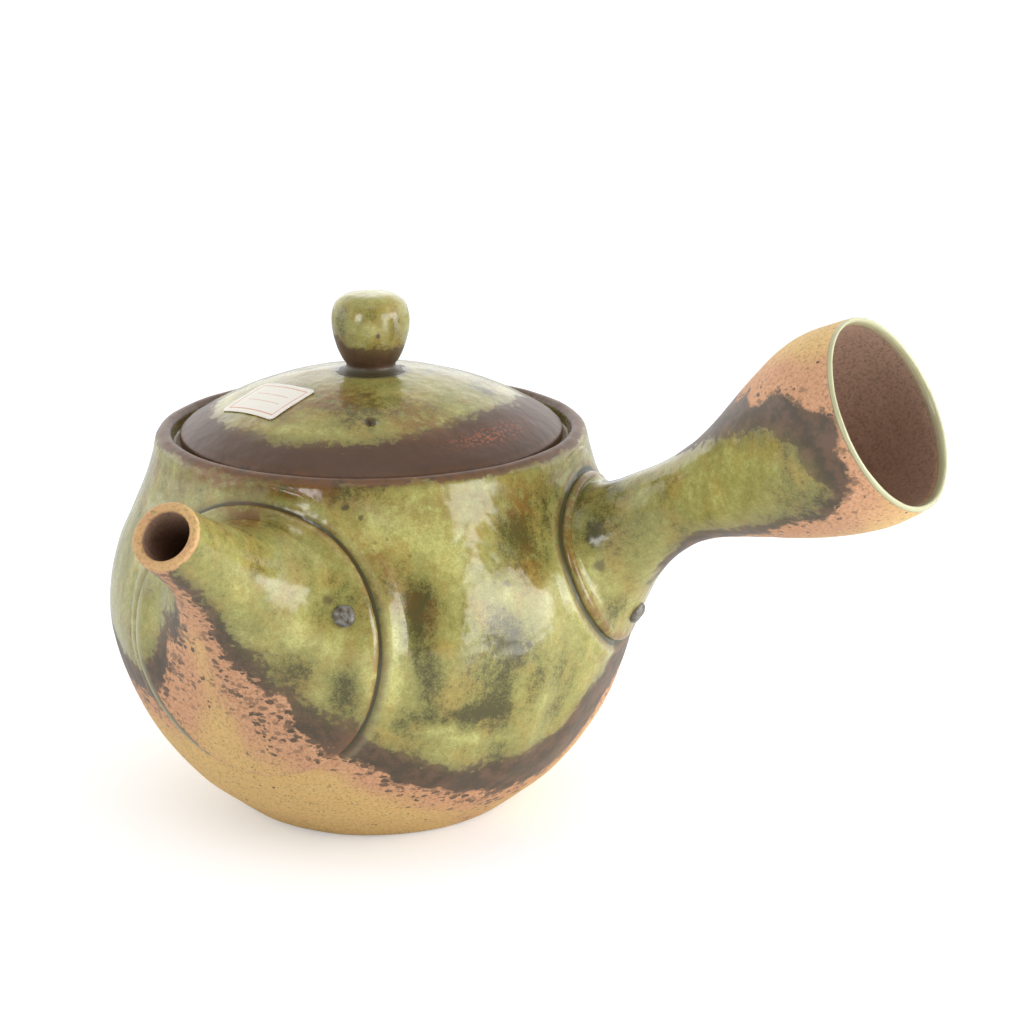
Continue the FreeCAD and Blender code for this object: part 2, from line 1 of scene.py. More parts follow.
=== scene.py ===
"""Looks of a side-handled stoneware teapot with a running ash glaze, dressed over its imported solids."""

import json
import math

import bmesh
import bpy
import numpy as np
from mathutils import Matrix, Vector
from mathutils.kdtree import KDTree

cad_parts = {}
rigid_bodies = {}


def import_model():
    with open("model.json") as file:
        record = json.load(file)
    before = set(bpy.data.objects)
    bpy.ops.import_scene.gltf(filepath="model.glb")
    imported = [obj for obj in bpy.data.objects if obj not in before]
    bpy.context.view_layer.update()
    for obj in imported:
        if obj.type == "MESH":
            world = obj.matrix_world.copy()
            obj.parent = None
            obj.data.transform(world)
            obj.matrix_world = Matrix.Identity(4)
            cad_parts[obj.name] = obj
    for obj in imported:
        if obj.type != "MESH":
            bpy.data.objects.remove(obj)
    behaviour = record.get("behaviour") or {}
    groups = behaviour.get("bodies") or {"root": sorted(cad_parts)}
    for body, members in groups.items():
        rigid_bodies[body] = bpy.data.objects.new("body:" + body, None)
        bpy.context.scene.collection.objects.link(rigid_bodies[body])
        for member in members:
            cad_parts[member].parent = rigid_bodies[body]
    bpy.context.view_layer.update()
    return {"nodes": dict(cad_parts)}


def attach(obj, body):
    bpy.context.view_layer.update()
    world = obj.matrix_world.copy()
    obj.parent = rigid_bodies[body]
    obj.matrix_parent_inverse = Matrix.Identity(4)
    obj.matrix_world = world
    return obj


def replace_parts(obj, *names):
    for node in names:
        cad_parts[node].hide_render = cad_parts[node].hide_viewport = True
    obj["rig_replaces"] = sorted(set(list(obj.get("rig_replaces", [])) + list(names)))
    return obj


bl_info = {
    "name": "Side-handled teapot",
    "version": (1, 0, 0),
    "blender": (4, 5, 0),
    "location": "View3D > Sidebar > Teapot",
    "description": "Builds a glazed side-handled teapot over its packed solids",
    "category": "Add Mesh",
}

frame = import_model()

# Shapes below are in millimetres, as girth and height or as points
MM = 0.001
FULL_TURN = 2 * math.pi
# Points round each ring, and the usual step from one ring or point to the next
ROUND = 224
STEP = 1.2
# Passes that even a loft, and how far the floor of a groove stands off the pot
EVENINGS = 12
GROOVE_FLOOR = 0.16
# Where along its axis a ring is searched for on the pot, and how often the search is halved
SEARCH = (-60.0, 90.0)
HALVINGS = 40

# Outside of the pot from foot to rim, and its inside from ledge to floor
POT_FOOT = [(0, 1.2), (24.2, 1.2), (25.4, 0.5), (26.4, 0.05), (28.0, 0.0), (29.9, 0.1)]
POT_OUTSIDE = [
    (31.1, 0.8),
    (34.6, 3.7),
    (41.4, 9.9),
    (48.4, 19.9),
    (52.6, 29.8),
    (54.85, 39.8),
    (54.5, 48.0),
    (52.6, 56.0),
    (49.6, 63.0),
    (46.7, 69.6),
    (44.9, 75.2),
]
POT_RIM = [
    (44.6, 76.8),
    (44.2, 78.2),
    (43.4, 79.1),
    (42.3, 79.45),
    (41.4, 79.15),
    (40.9, 78.3),
    (40.8, 77.2),
]
POT_LEDGE = [(40.8, 76.5), (36.9, 76.5), (36.3, 76.1), (36.2, 75.2), (36.4, 74.1), (39.6, 73.2)]
POT_INSIDE = [
    (42.6, 71.2),
    (46.6, 63.0),
    (49.6, 55.6),
    (51.4, 47.8),
    (51.7, 40.0),
    (49.5, 30.6),
    (45.2, 21.2),
    (38.2, 11.6),
    (32.0, 6.6),
    (24.0, 4.8),
    (12.0, 4.6),
    (0, 4.6),
]

# Girth that the glaze leaves bare below, girth and height where the lip begins, and the lip's top
FOOT_GIRTH = 29.5
LIP_GIRTH, LIP_START, LIP_TOP = 40.4, 76, 79.4

# Dents that the potter's fingers left: heading, height, half width, half height, depth
DENTS = [
    (-53, 57, 3.0, 15, 0.50),
    (-47, 34, 3.6, 13, -0.35),
    (-41, 60, 3.4, 10, -0.35),
    (-35, 46, 4.2, 9, 0.45),
    (-30, 63, 4.0, 8, 0.35),
    (-24, 52, 4.0, 8, -0.45),
    (-27, 30, 3.0, 8, -0.45),
    (-35, 24, 4.0, 5, 0.35),
    (-19, 36, 3.2, 9, 0.40),
    (-14, 24, 3.4, 6, -0.35),
    (-18, 66, 4.5, 7, 0.35),
    (-9, 44, 4.0, 10, -0.35),
    (-43, 20, 3.5, 5, -0.35),
    (-75, 70, 7.0, 5, 0.40),
    (32, 50, 6.0, 12, 0.40),
    (58, 60, 6.0, 11, -0.35),
    (86, 40, 7.0, 14, 0.40),
    (118, 55, 6.0, 12, 0.35),
    (150, 46, 7.0, 13, -0.40),
    (-170, 58, 6.0, 12, 0.35),
    (-148, 42, 6.0, 12, -0.30),
]

# Trough round the spout's ridge: rise of its middle, radius, half width and depth
SPOUT_TROUGH = (2.2, 32.6, 1.9, 0.6)

# Height at which the glaze stops on the pot, by heading
GLAZE_EDGE = [
    (-180, 42.0),
    (-155, 38.5),
    (-140, 34.5),
    (-130, 31.0),
    (-124, 30.5),
    (-112, 31.0),
    (-95, 33.0),
    (-78, 33.0),
    (-71, 29.6),
    (-56, 20.6),
    (-40, 14.0),
    (-28, 11.5),
    (-17, 12.8),
    (-8, 15.2),
    (-3.5, 18.0),
    (2, 27.0),
    (12, 31.0),
    (22, 34.0),
    (45, 46.0),
    (75, 47.0),
    (105, 52.0),
    (140, 48.0),
]

# Height of the dark band between the glaze's edge and the green, by heading
BAND_WIDTH = [
    (-180, 6.5),
    (-45, 6.5),
    (-34, 10.0),
    (-24, 11.0),
    (-17, 12.0),
    (-13, 15.5),
    (-9, 18.0),
    (-4, 18.0),
    (6, 13.0),
    (20, 9.0),
    (40, 6.5),
]

# Seat of each limb on the pot: heading, tilt, centre and radius of its flange, and the side it rolls to
SPOUT_SEAT = {"heading": -90.0, "tilt": 2.7, "centre": (0.0, 0.0, 45.0), "radius": 26.6, "side": 1}
HANDLE_SEAT = {"heading": 5.0, "tilt": 12.5, "centre": (49.11, 4.30, 55.9), "radius": 17.3, "side": -1}

# Rounded edge of each flange: distance out, share of its thickness, and rust
SPOUT_EDGE = [
    (-0.7, -0.6, 0),
    (-0.15, -0.12, 0.2),
    (0, 0.2, 0.7),
    (-0.1, 0.5, 0.7),
    (-0.38, 0.74, 0.5),
    (-0.8, 0.9, 0.3),
    (-1.3, 0.98, 0.15),
]
HANDLE_EDGE = [
    (-0.7, -0.6, 0),
    (-0.15, -0.12, 0.2),
    (0, 0.2, 0.5),
    (-0.1, 0.5, 0.5),
    (-0.32, 0.76, 0.6),
    (-0.66, 0.93, 0.7),
]

# Ridge and groove in section: share of the groove's width, distance added, height, pool and rust
RIDGE_SECTION = [
    (1, 3.8, -0.35, 0, 0),
    (1, 3.2, -0.03, 0, 0),
    (1, 2.6, 0.20, 0, 0),
    (1, 2.0, 0.58, 0, 0),
    (1, 1.5, 0.90, 0, 0),
    (1, 1.1, 1.0, 0, 0.3),
    (1, 0.7, 0.88, 0, 0.8),
    (1, 0.3, 0.55, 0.1, 0.8),
    (1, -0.1, 0.22, 0.5, 0.3),
    (0.6, 0, 0.08, 1, 0),
    (0.3, 0, 0.04, 1, 0),
    (0, -0.3, 0.05, 0.8, 0),
    (0, -0.8, 0.0, 1, 0),
    (0, -0.8, -0.9, 0, 0),
    (1, 3.8, -0.9, 0, 0),
    (1, 3.8, -0.35, 0, 0),
]

# Sections of the limbs: reach, height, slope and radius
SPOUT_SECTIONS = [
    (51.5, 53.0, 14.0, 19.5),
    (55.0, 58.8, 22.0, 13.6),
    (59.3, 64.0, 30.0, 9.8),
    (65.2, 68.8, 34.5, 7.7),
    (71.0, 73.0, 36.5, 6.8),
    (76.05, 76.6, 37.7, 6.5),
]
HANDLE_SECTIONS = [
    (3.2, 58.5, 25.0, 13.8),
    (6.8, 62.0, 31.0, 10.9),
    (12.0, 66.3, 35.0, 9.3),
    (21.0, 71.7, 30.0, 8.6),
    (30.5, 76.6, 27.3, 11.2),
    (42.0, 83.1, 30.5, 16.2),
    (53.0, 89.8, 32.0, 19.6),
    (61.2, 94.2, 28.2, 18.8),
]
HANDLE_HEADING = -8.8

# Rounding of the spout's tip and of the handle's rim: distance forward and inwards
SPOUT_TIP = [(0.2, 0), (0.42, 0.12), (0.58, 0.4), (0.62, 0.75), (0.52, 1.1), (0.25, 1.38), (-0.2, 1.5)]
HANDLE_RIM = [(0.35, 0.02), (0.62, 0.15), (0.8, 0.42), (0.85, 0.7), (0.75, 1.0), (0.5, 1.22), (0.1, 1.34)]

# Wall of the spout at its sections up to the tip, and the radius of its root inside
SPOUT_WALLS = (4.6, 3.6, 2.9, 2.5, 2.2)
SPOUT_ROOT = 16.4

# Reach of the spout's flange, of its tip, and past which the tip is bare
SPOUT_FLANGE_REACH, SPOUT_TIP_REACH, SPOUT_BARE_TIP = 46.5, 77.5, 75.2

# Reach of the handle's rim
HANDLE_RIM_REACH = 66.0

# Where the spout is bare and where it isn't green, as reach and roll, with roll 180 underneath
SPOUT_BARE = [
    (79, 163),
    (73.5, 164),
    (68.5, 170),
    (64.4, 168),
    (58.8, 172),
    (56.5, 171),
    (54.4, 159),
    (51.9, 145),
    (49.0, 138),
    (46.0, 132),
    (40.0, 130),
    (40.0, 244),
    (46.0, 243),
    (52.2, 239),
    (54.3, 236),
    (57.7, 232),
    (64.0, 212),
    (70.0, 196),
    (76.5, 187),
    (79, 186),
]
SPOUT_SMOKED = [
    (79, 152),
    (68.2, 150),
    (62.4, 157),
    (57.0, 152),
    (54.0, 141),
    (51.2, 130),
    (48.6, 121),
    (44.0, 116),
    (40.0, 115),
    (40.0, 258),
    (46.0, 257),
    (52.0, 257),
    (57.0, 250),
    (64.0, 226),
    (70.0, 208),
    (79, 199),
]

# Where the handle is glazed and where it is green, as reach and roll, with roll 90 to the front
HANDLE_GLAZED = [
    (-30, -230),
    (18, -230),
    (18, -180),
    (22, -160),
    (28, -132),
    (36, -100),
    (39, -60),
    (38, -20),
    (38.5, 12),
    (43.0, 39),
    (52.9, 59),
    (59.6, 69),
    (60.4, 83),
    (60.2, 100),
    (59.4, 112),
    (57.8, 119),
    (52.2, 125),
    (45.1, 131),
    (35.0, 145),
    (23, 164),
    (18, 180),
    (18, 230),
    (-30, 230),
]
HANDLE_GREEN = [
    (-30, -230),
    (7, -230),
    (7, -180),
    (11, -150),
    (17, -100),
    (19, -60),
    (20, -20),
    (21.5, 0),
    (24.6, 28),
    (36.9, 53),
    (47.6, 69),
    (52.9, 81),
    (54.6, 101),
    (54.1, 113),
    (46.8, 123),
    (35.1, 131),
    (20.9, 138),
    (11, 160),
    (7, 180),
    (7, 230),
    (-30, 230),
]

# Distance round the handle for each degree of roll
HANDLE_ROLL = 0.22

# Edge of the green on the lid, as girth by heading
LID_GREEN = [
    (-154, 32.3),
    (-129, 31.7),
    (-110, 32.4),
    (-96, 32.7),
    (-85, 32.7),
    (-63, 31.0),
    (-36, 29.1),
    (-8, 27.0),
    (10, 28.6),
    (36, 31.1),
    (80, 33.0),
    (120, 31.0),
    (165, 33.5),
]

# The lid's underside and seat, and its dome as radius and height of the centre
LID_UNDERSIDE = [(0, 85.07), (9, 84.47), (17, 82.9), (25, 80.3), (30.4, 77.9)]
LID_SEAT = [
    (32.6, 76.75),
    (33.4, 76.5),
    (38.6, 76.5),
    (39.2, 76.75),
    (39.4, 77.3),
    (39.4, 78.4),
    (39.2, 78.85),
    (38.7, 79.25),
]
LID_DOME = (71.0, 19.94)

# Vent in the lid: reach, heading and radius
VENT = (25.5, -62.0, 1.15)

# Outside of the knob from its foot to its top
KNOB_PROFILE = [
    (0, 89.2),
    (7.4, 89.8),
    (7.6, 90.5),
    (6.7, 90.62),
    (5.6, 90.95),
    (5.0, 91.5),
    (5.0, 92.1),
    (5.65, 92.9),
    (6.5, 94.5),
    (7.1, 96.1),
    (7.65, 98.0),
    (7.95, 100.6),
    (7.75, 103.0),
    (6.9, 104.9),
    (5.0, 106.2),
    (2.6, 106.6),
    (0, 106.65),
]

# Pellets: piece that each is pressed on, place and radius, and their shape for a radius of one
PELLETS = {
    "spout_pellet": ("spout", (21.3, -51.1, 56.7), 2.15),
    "handle_pellet": ("handle", (58.1, 3.65, 45.2), 2.3),
}
PELLET_PROFILE = [
    (0, -0.9),
    (0.62, -0.8),
    (0.98, -0.35),
    (1.0, 0.0),
    (0.93, 0.24),
    (0.7, 0.40),
    (0.35, 0.46),
    (0, 0.44),
]

# Label: reach and heading of its middle, its turn, and the rounding of its corners
LABEL_CENTRE = (22.8, -126.3)
LABEL_TURN = 14.3
LABEL_CORNER = 0.9

# Print of the label: frame's inset and half width, and the ruled lines' inset, offset and half width
LABEL_FRAME = (1.3, 0.16)
LABEL_RULES = (3.4, 1.3, 0.09)

# Iron spots in the glaze: place, size and strength
IRON_SPOTS = [
    ((16.8, -41.6, 74.7), 1.0, 0.8),
    ((19.8, -40.9, 72.9), 0.9, 0.7),
    ((43.7, -27.1, 59.0), 1.1, 0.6),
    ((48.0, -26.5, 46.9), 0.9, 0.8),
    ((18.4, -51.2, 59.5), 1.9, 0.7),
    ((54.6, -7.9, 58.2), 1.5, 0.6),
    ((12.0, -22.5, 86.1), 2.0, 0.9),
    ((7.2, -13.7, 89.2), 0.8, 0.6),
    ((5.0, -6.0, 99.2), 0.8, 0.9),
]

# Lighter and darker places of the glaze: place, width, height and tone
GLAZE_PLACES = [
    ((29.3, -46.2, 49.7), 2.2, 12, 0.9),
    ((30.8, -45.3, 40.6), 3, 6, 0.6),
    ((32.4, -40.8, 60.3), 3, 6, -0.8),
    ((34.0, -41.6, 55.2), 2.5, 4, 0.5),
    ((43.0, -20.7, 68.3), 4, 5, -0.9),
    ((44.5, -11.8, 71.5), 3, 8, -0.3),
    ((44.7, -28.8, 57.1), 2.5, 2.5, 0.8),
    ((46.6, -28.3, 37.9), 1.8, 5, 1.0),
    ((49.0, -22.5, 34.3), 1.6, 4, 0.6),
    ((49.5, -19.1, 30.7), 2.5, 3, -0.8),
    ((34.7, -40.7, 32.5), 2.5, 1.5, 0.9),
    ((39.3, -35.1, 29.5), 3.5, 1.5, 1.0),
    ((43.0, -29.4, 27.7), 4, 1.5, 0.7),
    ((37.9, -38.6, 35.1), 9, 2.2, -1.0),
    ((44, -32, 40), 15, 11, -0.85),
    ((34, -40, 69), 18, 9, 0.6),
    ((22, -44, 68), 9, 7, 0.5),
    ((37.2, -40.3, 48.1), 2.6, 5, 0.5),
    ((13.7, -41.8, 77.7), 14, 2.6, -0.9),
    ((22.5, -40.5, 70.6), 4, 4, 0.5),
    ((52.6, -15.3, 40.7), 3, 5, 0.4),
    ((52.8, -7.9, 31.8), 5, 5, -0.3),
    ((-32.2, -42.1, 57.5), 6, 8, 0.3),
    ((-23.7, -35.3, 78.5), 8, 4, -0.3),
    ((13.8, -57.6, 54.3), 4, 4.5, 0.8),
    ((15.1, -56.9, 47.3), 4, 3.5, -1.0),
    ((21.8, -52.1, 42.1), 3, 4.5, -1.0),
    ((16.6, -55.4, 41.5), 2.5, 2, 0.9),
    ((25.8, -50.3, 46.5), 2, 8, 1.0),
    ((20.0, -53.0, 51.5), 3, 3, 0.7),
    ((10.0, -61.1, 61.4), 5, 4, 0.3),
    ((9.0, -59.0, 67.8), 4, 4, -0.5),
    ((7.0, -62.6, 53.7), 4, 4, 0.4),
    ((12.3, -57.9, 43.1), 5, 3, -0.5),
    ((53.3, -7.0, 64.1), 2.5, 3.5, -1.1),
    ((56.5, -4.9, 48.5), 3, 3, -1.0),
    ((53.3, 3.0, 72.7), 5, 1.5, -0.9),
    ((53.1, -9.3, 59.6), 2.5, 6, 0.6),
    ((64.2, -6.3, 72.5), 4, 4, 0.3),
    ((87.1, -18.0, 86.2), 7, 5, 0.3),
    ((75.9, -10.7, 77.1), 5, 5, 0.2),
    ((9.3, -17.6, 88.1), 9, 9, -0.6),
    ((16.1, -0.5, 89.1), 6, 6, 0.4),
    ((6.5, 0.3, 90.6), 5, 5, 0.3),
    ((-14.1, -16.7, 87.5), 7, 7, -0.5),
    ((24.2, 5.9, 86.4), 5, 5, -0.5),
    ((46, -20, 62), 5, 9, -0.4),
    ((26, -44, 62), 4, 9, -0.7),
    ((33, -41, 56), 3, 8, -0.6),
    ((1.3, -27.3, 85.4), 4, 4, 0.6),
    ((17.4, -20.5, 85.6), 4, 4, 0.5),
    ((-0.3, -7.8, 102.4), 2, 2, 0.4),
    ((3.7, -6.8, 102.9), 2, 2, -0.7),
    ((-2.9, -7.3, 102.1), 2, 4, -0.8),
    ((0, -2, 107), 8, 2.5, 0.6),
    ((4, -8, 89), 16, 12, 0.3),
    ((5.2, -1.0, 105.7), 3, 3, 0.4),
    ((4.1, -6.7, 100.9), 1.8, 1.8, 0.7),
    ((-40, 26, 55), 9, 9, -0.6),
    ((-20, 45, 62), 8, 8, 0.6),
    ((10, 50, 58), 10, 10, -0.5),
    ((36, 36, 60), 9, 9, 0.5),
    ((-45, -5, 64), 8, 9, 0.4),
]

# Brown places of the glaze, in the same terms
BROWN_PLACES = [
    ((21.6, -43.0, 67.7), 4, 3.5, 0.45),
    ((25.7, -42.8, 64.7), 3, 4, 0.5),
    ((29.7, -42.5, 60.8), 3, 5, 0.5),
    ((34.4, -40.8, 56.2), 2.5, 5, 0.45),
    ((-10, -42, 77.5), 9, 2.2, 0.9),
    ((8, -43, 77.5), 9, 2.0, 0.8),
    ((42.0, -18.0, 72.8), 4, 5, 0.7),
    ((46.6, -21.1, 62.3), 3, 5, 0.6),
    ((-1.3, -47.6, 72.2), 6, 2.6, 0.8),
    ((-9.2, -24.9, 85.8), 6, 6, 0.6),
    ((0.9, -18.6, 88.4), 7, 7, 0.7),
    ((19.8, -16.7, 86.0), 6, 6, 0.7),
    ((-11.1, -9.8, 89.4), 6, 6, 0.4),
]

# Camera in metres, with its lens for a sensor of 36 mm, and the way to the darker side of the room
CAMERA_PLACE = (0.2080, -0.3777, 0.1918)
CAMERA_AIM = (0.0262, 0.0122, 0.0600)
CAMERA_LENS = 75.59
ROOM_SIDE = (0.42, -0.90, 0.10)


def display(red, green, blue):
    """Linear colour of display values from 0 to 255."""
    share = np.array((red, green, blue)) / 255
    linear = np.where(share <= 0.04045, share / 12.92, ((share + 0.055) / 1.055) ** 2.4)
    return (*(float(x) for x in linear), 1.0)


def length(name, about, default):
    """Length property in metres, given in millimetres."""
    return bpy.props.FloatProperty(name=name, description=about, default=default * MM, min=0, unit="LENGTH")


def colour(name, about, *values):
    """Colour property from display values."""
    return bpy.props.FloatVectorProperty(
        name=name, description=about, default=display(*values), size=4, min=0, max=1, subtype="COLOR"
    )


class TeapotSizes(bpy.types.PropertyGroup):
    """Sizes that a user may change."""

    flange: length("Flange", "Thickness of the edge where spout and handle are laid on the pot", 1.5)
    groove: length("Groove", "Width of the groove round each flange", 1.3)
    ridge: length("Ridge", "Height of the clay ridge outside each groove", 0.55)
    spout_wall: length("Spout wall", "Wall at the spout's tip", 1.9)
    handle_wall: length("Handle wall", "Wall inside the handle", 2.6)
    handle_rim: length("Handle rim", "Wall at the handle's mouth", 1.1)
    label_long: length("Label length", "Longer side of the paper label", 17)
    label_wide: length("Label width", "Shorter side of the paper label", 12)
    paper: length("Paper", "Thickness of the paper label", 0.12)
    dents: bpy.props.FloatProperty(
        name="Dents", description="Strength of the finger dents", default=1.35, min=0, max=3, subtype="FACTOR"
    )


class TeapotColours(bpy.types.PropertyGroup):
    """Colours that a user may change."""

    olive: colour("Olive", "Glaze where it is of middling thickness", 150, 145, 80)
    yellow: colour("Yellow", "Glaze where ash fell thickest", 198, 194, 120)
    amber: colour("Amber", "Brown drift in the green", 170, 142, 72)
    shade: colour("Shade", "Glaze in its darker clouds", 80, 75, 38)
    smoke: colour("Smoke", "Thin dark glaze along the edge", 76, 63, 45)
    plum: colour("Plum", "Clouds in the dark glaze", 104, 78, 58)
    pool: colour("Pool", "Glaze gathered in grooves", 74, 70, 46)
    # Painted sheen: pale colour painted as a reflection on the handle's rim, a highlight on the spout
    # flange's left edge and glints on the ridges
    celadon: colour("Celadon", "Pale glaze on the handle's rim", 182, 180, 142)
    rust: colour("Rust", "Glaze broken over an edge", 126, 80, 36)
    umber: colour("Umber", "Dark glaze of the lid and the rim", 82, 54, 34)
    ember: colour("Ember", "Red specks in the lid's dark glaze", 178, 96, 62)
    ochre: colour("Ochre", "Bare clay away from the glaze", 217, 178, 110)
    salmon: colour("Salmon", "Bare clay flushed by the fire near the glaze", 206, 152, 112)
    inside: colour("Inside", "Unglazed inner surfaces", 158, 126, 106)
    pellet: colour("Pellet", "Iron-rich clay pellets", 130, 126, 118)
    paper: colour("Paper", "Blank label", 240, 236, 226)
    ink: colour("Ink", "Printed frame of the blank label", 214, 150, 120)


def sizes():
    """The sizes as the user has set them, in metres."""
    return bpy.context.scene.teapot_sizes


def colours():
    """The colours as the user has set them."""
    return bpy.context.scene.teapot_colours


def millimetres(value):
    """A measure in metres, in millimetres."""
    return value / MM


# Curves and surfaces worked out before they are drawn


def between(t, start, end, lead, tail):
    """Points at the shares t of a smooth line that leaves its start along lead and ends along tail."""
    return (
        (2 * t**3 - 3 * t**2 + 1) * start
        + (t**3 - 2 * t**2 + t) * lead
        + (3 * t**2 - 2 * t**3) * end
        + (t**3 - t**2) * tail
    )


def through(knots, step=STEP):
    """Points along a smooth line through the knots, about a step apart."""
    knots = np.array(knots, float)
    ends = np.vstack([2 * knots[0] - knots[1], knots, 2 * knots[-1] - knots[-2]])
    points = []
    for before, start, end, after in zip(ends, ends[1:], ends[2:], ends[3:]):
        count = max(1, int(round(np.linalg.norm(end - start) / step)))
        chord = np.linalg.norm(end - start)
        lead = (end - before) * chord / (chord + np.linalg.norm(start - before))
        tail = (after - start) * chord / (chord + np.linalg.norm(after - end))
        t = (np.arange(count) / count)[:, None]
        points.append(between(t, start, end, lead, tail))
    return np.vstack(points + [knots[-1:]])


POT_LINE = through(POT_OUTSIDE, 0.6)


def heading_of(points):
    """Heading of each point in degrees, as seen from above."""
    return np.degrees(np.arctan2(points[:, 1], points[:, 0]))


def by_heading(table, headings):
    """Values of a table of heading and value, read round the pot."""
    steps, values = zip(*sorted(table))
    return np.interp(headings, steps, values, period=360)


def dent_depth(points):
    """How far the potter's touch pushes each point of the pot inwards."""
    heading, height = heading_of(points), points[:, 2]
    girth = np.hypot(points[:, 0], points[:, 1])
    depth = np.zeros(len(points))
    for middle, level, wide, tall, deep in DENTS:
        across = (heading - middle + 180) % 360 - 180
        across = np.radians(across) * girth / wide
        depth += deep * np.exp(-(across**2) / 2 - ((height - level) / tall) ** 2 / 2)
    rise, radius, half, deep = SPOUT_TROUGH
    reach = np.hypot(points[:, 0], height - SPOUT_SEAT["centre"][2] - rise)
    trough = np.exp(-(((reach - radius) / half) ** 2) / 2) * (points[:, 1] < 0)
    depth += deep * trough * np.clip((points[:, 0] - 8) / 12, 0, 1) * np.clip((height - 26) / 12, 0, 1)
    fade = np.clip((height - 8) / 10, 0, 1) * np.clip((LIP_START - height) / 6, 0, 1)
    return depth * fade * sizes().dents


def pot_girth(points):
    """Girth of the pot's outside at each point's height and heading."""
    return np.interp(points[:, 2], POT_LINE[:, 1], POT_LINE[:, 0]) - dent_depth(points)


def seat_axes(seat):
    """Outward axis, sideways and upward directions of a limb's seat."""
    heading, tilt = math.radians(seat["heading"]), math.radians(seat["tilt"])
    level = np.array((math.cos(heading), math.sin(heading), 0))
    side = np.array((-math.sin(heading), math.cos(heading), 0)) * seat["side"]
    rise = np.array((0.0, 0.0, 1.0))
    return (
        level * math.cos(tilt) + rise * math.sin(tilt),
        side,
        rise * math.cos(tilt) - level * math.sin(tilt),
    )


def angles():
    """Angle of each point round a ring, from its top."""
    return np.arange(ROUND) * FULL_TURN / ROUND


def laid_ring(seat, radius, lift):
    """Ring round a seat that lies on the pot, lifted off it by its height."""
    out, side, up = seat_axes(seat)
    spread = np.outer(np.sin(angles()), side) + np.outer(np.cos(angles()), up)
    start = np.array(seat["centre"]) + spread * radius
    near, far = (np.full(ROUND, end) for end in SEARCH)
    near += max(0.0, -SEARCH[0] - np.linalg.norm(seat["centre"][:2]))
    for _ in range(HALVINGS):
        middle = (near + far) / 2
        points = start + np.outer(middle, out)
        inside = np.hypot(points[:, 0], points[:, 1]) < pot_girth(points)
        near, far = np.where(inside, middle, near), np.where(inside, far, middle)
    points = start + np.outer(far, out)
    return points + pot_normals(points) * np.reshape(lift, (-1, 1))


def pot_normals(points):
    """Outward directions of the pot's outside at points on it."""
    steep = np.interp(points[:, 2] + 1, POT_LINE[:, 1], POT_LINE[:, 0])
    steep -= np.interp(points[:, 2] - 1, POT_LINE[:, 1], POT_LINE[:, 0])
    level = points[:, :2] / np.hypot(points[:, 0], points[:, 1])[:, None]
    normals = np.column_stack([level, -steep / 2])
    return normals / np.linalg.norm(normals, axis=1)[:, None]


def round_ring(centre, heading, slope, radius, side):
    """Circle square to a limb's middle line, which rises at the slope."""
    heading, slope = math.radians(heading), math.radians(slope)
    level = np.array((math.cos(heading), math.sin(heading), 0))
    across = np.array((-math.sin(heading), math.cos(heading), 0)) * side
    up = np.array((0, 0, math.cos(slope))) - level * math.sin(slope)
    spread = np.outer(np.sin(angles()), across) + np.outer(np.cos(angles()), up)
    return np.array(centre) + spread * radius


def spout_ring(reach, height, slope, radius):
    """Circle of the spout at a reach forward of the pot's middle."""
    return round_ring((0, -reach, height), -90, slope, radius, 1)


def handle_ring(reach, height, slope, radius):
    """Circle of the handle at a reach outward of its flange."""
    heading = math.radians(HANDLE_HEADING)
    x, y, _ = HANDLE_SEAT["centre"]
    centre = (x + reach * math.cos(heading), y + reach * math.sin(heading), height)
    return round_ring(centre, HANDLE_HEADING, slope, radius, -1)


def lofted(rings, reaches, step=STEP):
    """Rings between the given ones, evened along each of their points, and the reach of each."""
    rings, reaches = np.array(rings, float), list(reaches)
    ends = np.concatenate([[2 * rings[0] - rings[1]], rings, [2 * rings[-1] - rings[-2]]])
    made, marks = [], []
    for i in range(len(rings) - 1):
        before, start, end, after = ends[i : i + 4]
        chord = np.linalg.norm(end - start, axis=1)[:, None]
        lead = (end - before) * chord / (chord + np.linalg.norm(start - before, axis=1)[:, None])
        tail = (after - start) * chord / (chord + np.linalg.norm(after - end, axis=1)[:, None])
        count = max(1, int(round(chord.mean() / step)))
        for t in np.arange(count) / count:
            made.append(between(t, start, end, lead, tail))
            marks.append(reaches[i] + (reaches[i + 1] - reaches[i]) * t)
    made = np.array(made + [rings[-1]])
    for _ in range(EVENINGS):
        made[1:-1] = (made[:-2] + 2 * made[1:-1] + made[2:]) / 4
    return list(made), marks + [reaches[-1]]


def inside_distance(outline, x, y):
    """How far each point lies inside an outline, and below zero outside it."""
    best, inside = np.full(len(x), 1e9), np.zeros(len(x), bool)
    corners = [np.array(corner, float) for corner in outline]
    for start, end in zip(corners, corners[1:] + corners[:1]):
        run = end - start
        along = (x - start[0]) * run[0] + (y - start[1]) * run[1]
        along = np.clip(along / max(run @ run, 1e-9), 0, 1)
        best = np.minimum(best, np.hypot(x - start[0] - along * run[0], y - start[1] - along * run[1]))
        crosses = (start[1] > y) != (end[1] > y)
        at = start[0] + (y - start[1]) * run[0] / (run[1] if abs(run[1]) > 1e-9 else 1e-9)
        inside ^= crosses & (x < at)
    return np.where(inside, best, -best)


# Modelling steps shared by the pieces


def deselect():
    """Leaves edit mode and selects nothing."""
    if bpy.context.object and bpy.context.object.mode != "OBJECT":
        bpy.ops.object.mode_set(mode="OBJECT")
    bpy.ops.object.select_all(action="DESELECT")


def only(piece):
    """Makes one object the selected and active one."""
    deselect()
    piece.select_set(True)
    bpy.context.view_layer.objects.active = piece


